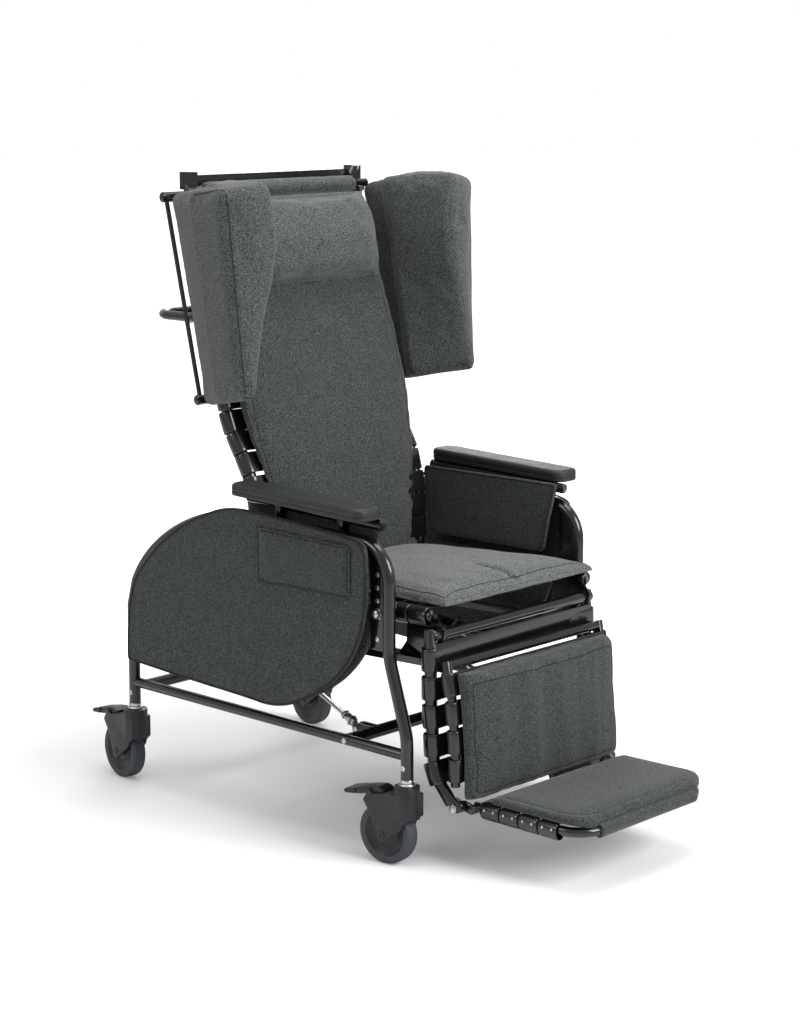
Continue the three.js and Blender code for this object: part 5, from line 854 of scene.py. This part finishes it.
class WHEELCHAIR_OT_panels(bpy.types.Operator):
    """Padded side panels with piping, the pocket, and the arm panels"""
    bl_idname = "wheelchair.panels"
    bl_label = "Side panels"

    def execute(self, context):
        piping = context.scene.wheelchair_sizes.piping * 1000
        outline = cut_corners(panel_shares * [panel_length, panel_height] + [panel_front, panel_foot])
        low = shrunk(np.minimum(outline, [math.inf, inner_panel_top]), inner_panel_inset)
        arm = rounded(arm_panel_shares * arm_panel_size + arm_panel_place, arm_panel_bends, True)
        arm_seam = shrunk(arm, arm_seam_inset)
        for name, side in sides.items():
            sewn(f"side_panel_{name}", "padded", outline, panel_rows, panel_out, side)
            edging(f"side_panel_piping_{name}", shrunk(outline, piping_inset), side * piping_out, piping)
            sewn(f"inner_side_panel_{name}", "padded", low, inner_panel_rows, inner_panel_out, side)
            sewn(f"arm_panel_{name}", "padded", arm, arm_panel_rows, arm_panel_out, side)
            edging(f"arm_panel_seam_{name}", arm_seam, side * arm_seam_out, arm_seam_radius)
        pocket = rounded(pocket_shares * pocket_size + pocket_place, pocket_bend, True)
        sewn("side_pocket_right", "sewn", pocket, pocket_rows, pocket_out, -1)
        edging("side_pocket_stitching", rounded(stitch_corners, stitch_bend, True), stitch_out, 0.9, 6)
        # The pocket's right edge: a dark tube of painted shade in the gap.
        gap_shade = Shape().grid(tube(pocket_gap_shade, pocket_gap_shade_radius, 8))
        gap_shade.build("side_pocket_gap_shade", "base", "thread")
        return {"FINISHED"}


class WHEELCHAIR_OT_arms(bpy.types.Operator):
    """Moulded arm pads"""
    bl_idname = "wheelchair.arms"
    bl_label = "Arm pads"

    def execute(self, context):
        outline = rounded(arm_pad_corners, arm_pad_bend, True, 0.1)
        for name, side in sides.items():

            def on_arm(flat, height):
                """The outline of (x, y) at a height above the arm tube's own slope."""
                rise = arm_pad_foot + (flat[:, 1] - arm_pad_start) * arm_pad_slope + height
                return np.column_stack([flat[:, 0] * side, flat[:, 1], rise])

            Shape().grid(stack(outline, arm_pad_rows, on_arm)).build(
                f"arm_pad_{name}_moulded", "base", "moulding", [f"arm_pad_{name}"])
        return {"FINISHED"}


class WHEELCHAIR_OT_cushions(bpy.types.Operator):
    """Seat cushion, back pad, head pillow, wings, roll, calf and foot pads"""
    bl_idname = "wheelchair.cushions"
    bl_label = "Cushions"

    def seat(self):
        """The seat cushion, with a seam across its front and one along each side."""
        seat = cushion("seat_cushion", "seat", 6, (0, 0, -1), soft(90, 1.4, 3), 1.5)
        seam(seat, "seat_cushion_front_seam", np.linspace(*seat_front_seam, 70))
        for name, side in sides.items():
            seam(seat, f"seat_cushion_side_seam_{name}", np.linspace(*(seat_side_seam * [side, 1, 1]), 60))

    def back(self):
        """The back pad, with a seam up each side."""
        back = cushion("back_pad", "back", 4, (0, 1, 0), soft(110, 1.2, 5), 1.0)
        rise = np.linspace(*back_seam_ends, 90)
        half = np.interp(rise, back_seam_heights, back_seam_halves) - back_seam_inset
        for name, side in sides.items():
            edge = np.column_stack([side * half, back_seam_front + back_seam_lean * rise, rise])
            seam(back, f"back_pad_side_seam_{name}", edge)

    def calf(self):
        """The calf pad, gathered in upright folds. It laps over its straps at the sides, more on the sitter's
        right, and hangs below them: x is widened and shifted, and z falls by hang x share below a height."""
        calf = cushion("calf_pad", "calf", 4, (0, 1, 0),
                       lambda points: rumple(points * [1, 1, 0.12], 30, 9) * 1.7, 0.5)
        points = points_of(calf.data)[0]
        low = np.clip((calf_hang_top - points[:, 2]) / calf_hang_fade, 0, 1)
        points = points * [calf_widening, 1, 1] + calf_shift
        points[:, 2] -= calf_hang * low
        moved_to(calf.data, points)
        edge = rounded(calf_seam_corners, calf_seam_bend, True)
        edge = np.concatenate([edge, edge[:1]])
        length = np.linalg.norm(np.diff(edge, axis=0), axis=1).sum()
        edge = at_lengths(edge, np.linspace(0, length, 200))
        edge = np.column_stack([edge[:, 0], np.full(len(edge), calf_seam_front), edge[:, 1]])
        seam(calf, "calf_pad_seam", edge, 1.0)

    def wings(self):
        """The wings. A seam runs up each outer corner and over the top, and one across the foot."""
        for name, side in sides.items():
            wing = cushion(f"wing_pad_{name}", "wing", 4, (0, 0.2, -1), soft(100, 1.2, 11), 0.0, 3)
            corner = wing_corner + np.linspace(0.03, 0.985, 60)[:, None] * wing_rise
            over = np.linspace(*wing_top_seam, 16)[1:]
            seam(wing, f"wing_seam_{name}", np.concatenate([corner, over]) * [side, 1, 1], 1.1)
            seam(wing, f"wing_foot_seam_{name}", np.linspace(*wing_foot_seam, 24) * [side, 1, 1], 1.0)

    def foot(self):
        """The foot pad and the sleeve on the front rail."""
        run = np.linspace(-sleeve_half_length, sleeve_half_length, 41)
        sleeve = Shape().grid(tube([(x, foot_rail, foot_rail_height) for x in run], sleeve_radius, 28)).build(
            "footrest_sleeve_sewn", "footrest", "calf", ["footrest_sleeve"])

        def on_rest(flat, height):
            """The outline of (x, y) above the straps. It droops by droop x share squared over the rail. Under
            the calf pad its height falls by thinning x share squared, to leave room as the footrest rises."""
            over = np.clip((foot_droop_start - flat[:, 1]) / foot_droop_run, 0, 1)
            under = np.clip((flat[:, 1] - foot_thin_start) / foot_thin_run, 0, 1)
            height = height * (1 - foot_thinning * under ** 2)
            droop = foot_droop * over ** 2 * (1 - height / 40)
            return np.column_stack([flat, foot_pad_foot + height - droop])

        outline = rounded(foot_pad_corners, foot_pad_bends, True, 0.1)
        pad = Shape().grid(stack(outline, foot_pad_rows, on_rest)).build(
            "footrest_pad_filled", "footrest", "calf", ["footrest_pad"])

    def execute(self, context):
        self.seat()
        self.back()
        cushion("head_pillow", "wing", 12, (0, 1, 0), pillow_crown, 1.0)
        self.calf()
        self.wings()
        cushion("back_roll", "wing", 2, (0, 0, -1), soft(50, 0.6, 13), 1.0)
        self.foot()
        return {"FINISHED"}


class WHEELCHAIR_OT_controls(bpy.types.Operator):
    """Release lever and its cable"""
    bl_idname = "wheelchair.controls"
    bl_label = "Controls"

    def execute(self, context):
        copied("release_lever", "nylon", bevel=0.6)
        copied("release_cable", "jacket")
        return {"FINISHED"}


class WHEELCHAIR_OT_stage(bpy.types.Operator):
    """Pale floor, soft lamps and the camera"""
    bl_idname = "wheelchair.stage"
    bl_label = "Stage"

    def floor(self, scene):
        """A matt floor that keeps the shadow near the wheelchair; the camera sees it turn white beyond."""
        mesh = bpy.data.meshes.new("floor")
        corners = [(x, y, 0) for x, y in rectangle(-floor_half, -floor_half, floor_half, floor_half)]
        mesh.from_pydata(corners, [], [(0, 1, 2, 3)])
        plane = bpy.data.objects.new("floor", mesh)
        scene.collection.objects.link(plane)
        material, tree, output = new_material("white_floor")
        rays = add(tree, "LightPath")
        matt = add(tree, "BsdfDiffuse", {"Color": (0.9, 0.9, 0.9, 1), "Roughness": 0.4})
        coords = add(tree, "TexCoord").outputs["Object"]
        reach = add(tree, "VectorMath", None, {0: coords}, operation="LENGTH").outputs["Value"]
        lift = add(tree, "MapRange", {"From Min": 0.75, "From Max": 1.9, "To Min": 0.14},
                   {"Value": reach}, interpolation_type="SMOOTHSTEP").outputs[0]
        seen = add(tree, "Math", None, {0: rays.outputs["Is Camera Ray"], 1: lift},
                   operation="MULTIPLY")
        glow = add(tree, "Emission", {"Color": (1, 1, 1, 1)}, {"Strength": seen.outputs[0]})
        both = add(tree, "AddShader", None, {0: matt.outputs[0], 1: glow.outputs[0]})
        tree.links.new(both.outputs[0], output.inputs[0])
        mesh.materials.append(material)

    def world(self, scene):
        """An even world that camera and transmitted rays see as white, and glossy rays a little brighter."""
        world = bpy.data.worlds.new("pale_room")
        scene.world = world
        world.use_nodes = True
        tree = world.node_tree
        tree.nodes.clear()
        rays = add(tree, "LightPath")
        seen, clear, shiny = [rays.outputs[f"Is {kind} Ray"] for kind in ("Camera", "Transmission", "Glossy")]
        plain = add(tree, "Math", None, {0: seen, 1: clear}, operation="MAXIMUM").outputs[0]
        bright = add(tree, "MapRange", {"To Min": world_level}, {"Value": plain}).outputs[0]
        glossy = add(tree, "Math", {1: world_gloss}, {0: shiny, 2: bright},
                     operation="MULTIPLY_ADD")
        sky = add(tree, "Background", {"Color": (1, 1, 1, 1)}, {"Strength": glossy.outputs[0]})
        room = add(tree, "OutputWorld")
        tree.links.new(sky.outputs[0], room.inputs[0])

    def execute(self, context):
        scene = context.scene
        self.floor(scene)
        self.world(scene)
        for name, place, size, power in lamps:
            lamp = bpy.data.lights.new(name, "AREA")
            lamp.energy, lamp.size = power, size
            item = bpy.data.objects.new(name, lamp)
            item.location = place
            item.rotation_euler = (Vector(lamp_aim) - Vector(place)).to_track_quat("-Z", "Y").to_euler()
            scene.collection.objects.link(item)
        lens = bpy.data.cameras.new("camera")
        lens.sensor_fit, lens.sensor_width, lens.lens, lens.shift_y = "AUTO", 36, camera_lens, camera_shift
        item = bpy.data.objects.new("camera", lens)
        item.location = camera_place
        item.rotation_euler = (math.pi / 2 - math.radians(camera_drop), 0, math.radians(camera_turn))
        scene.collection.objects.link(item)
        scene.camera = item
        scene.view_settings.view_transform = "Standard"
        return {"FINISHED"}


class WHEELCHAIR_PT_pieces(bpy.types.Panel):
    """Sizes, colours and the pieces' buttons"""
    bl_idname = "WHEELCHAIR_PT_pieces"
    bl_label = "Wheelchair"
    bl_space_type = "VIEW_3D"
    bl_region_type = "UI"
    bl_category = "Wheelchair"

    def draw(self, context):
        for group in (context.scene.wheelchair_sizes, context.scene.wheelchair_looks):
            for key in group.__annotations__:
                self.layout.prop(group, key)
        for operator in operators:
            self.layout.operator(operator.bl_idname)


operators = (WHEELCHAIR_OT_stage, WHEELCHAIR_OT_frames, WHEELCHAIR_OT_springs, WHEELCHAIR_OT_casters,
             WHEELCHAIR_OT_straps, WHEELCHAIR_OT_panels, WHEELCHAIR_OT_arms, WHEELCHAIR_OT_cushions,
             WHEELCHAIR_OT_controls)
classes = (WheelchairSizes, WheelchairLooks, *operators, WHEELCHAIR_PT_pieces)


def register():
    """Registers the classes and gives the scene its sizes and looks."""
    for item in classes:
        bpy.utils.register_class(item)
    bpy.types.Scene.wheelchair_sizes = bpy.props.PointerProperty(type=WheelchairSizes)
    bpy.types.Scene.wheelchair_looks = bpy.props.PointerProperty(type=WheelchairLooks)


def unregister():
    """Takes the classes away again."""
    del bpy.types.Scene.wheelchair_looks
    del bpy.types.Scene.wheelchair_sizes
    for item in reversed(classes):
        bpy.utils.unregister_class(item)


def main():
    """Makes every piece in order."""
    register()
    bpy.ops.wheelchair.stage()
    bpy.ops.wheelchair.frames()
    bpy.ops.wheelchair.springs()
    bpy.ops.wheelchair.casters()
    bpy.ops.wheelchair.straps()
    bpy.ops.wheelchair.panels()
    bpy.ops.wheelchair.arms()
    bpy.ops.wheelchair.cushions()
    bpy.ops.wheelchair.controls()


if __name__ == "__main__":
    main()
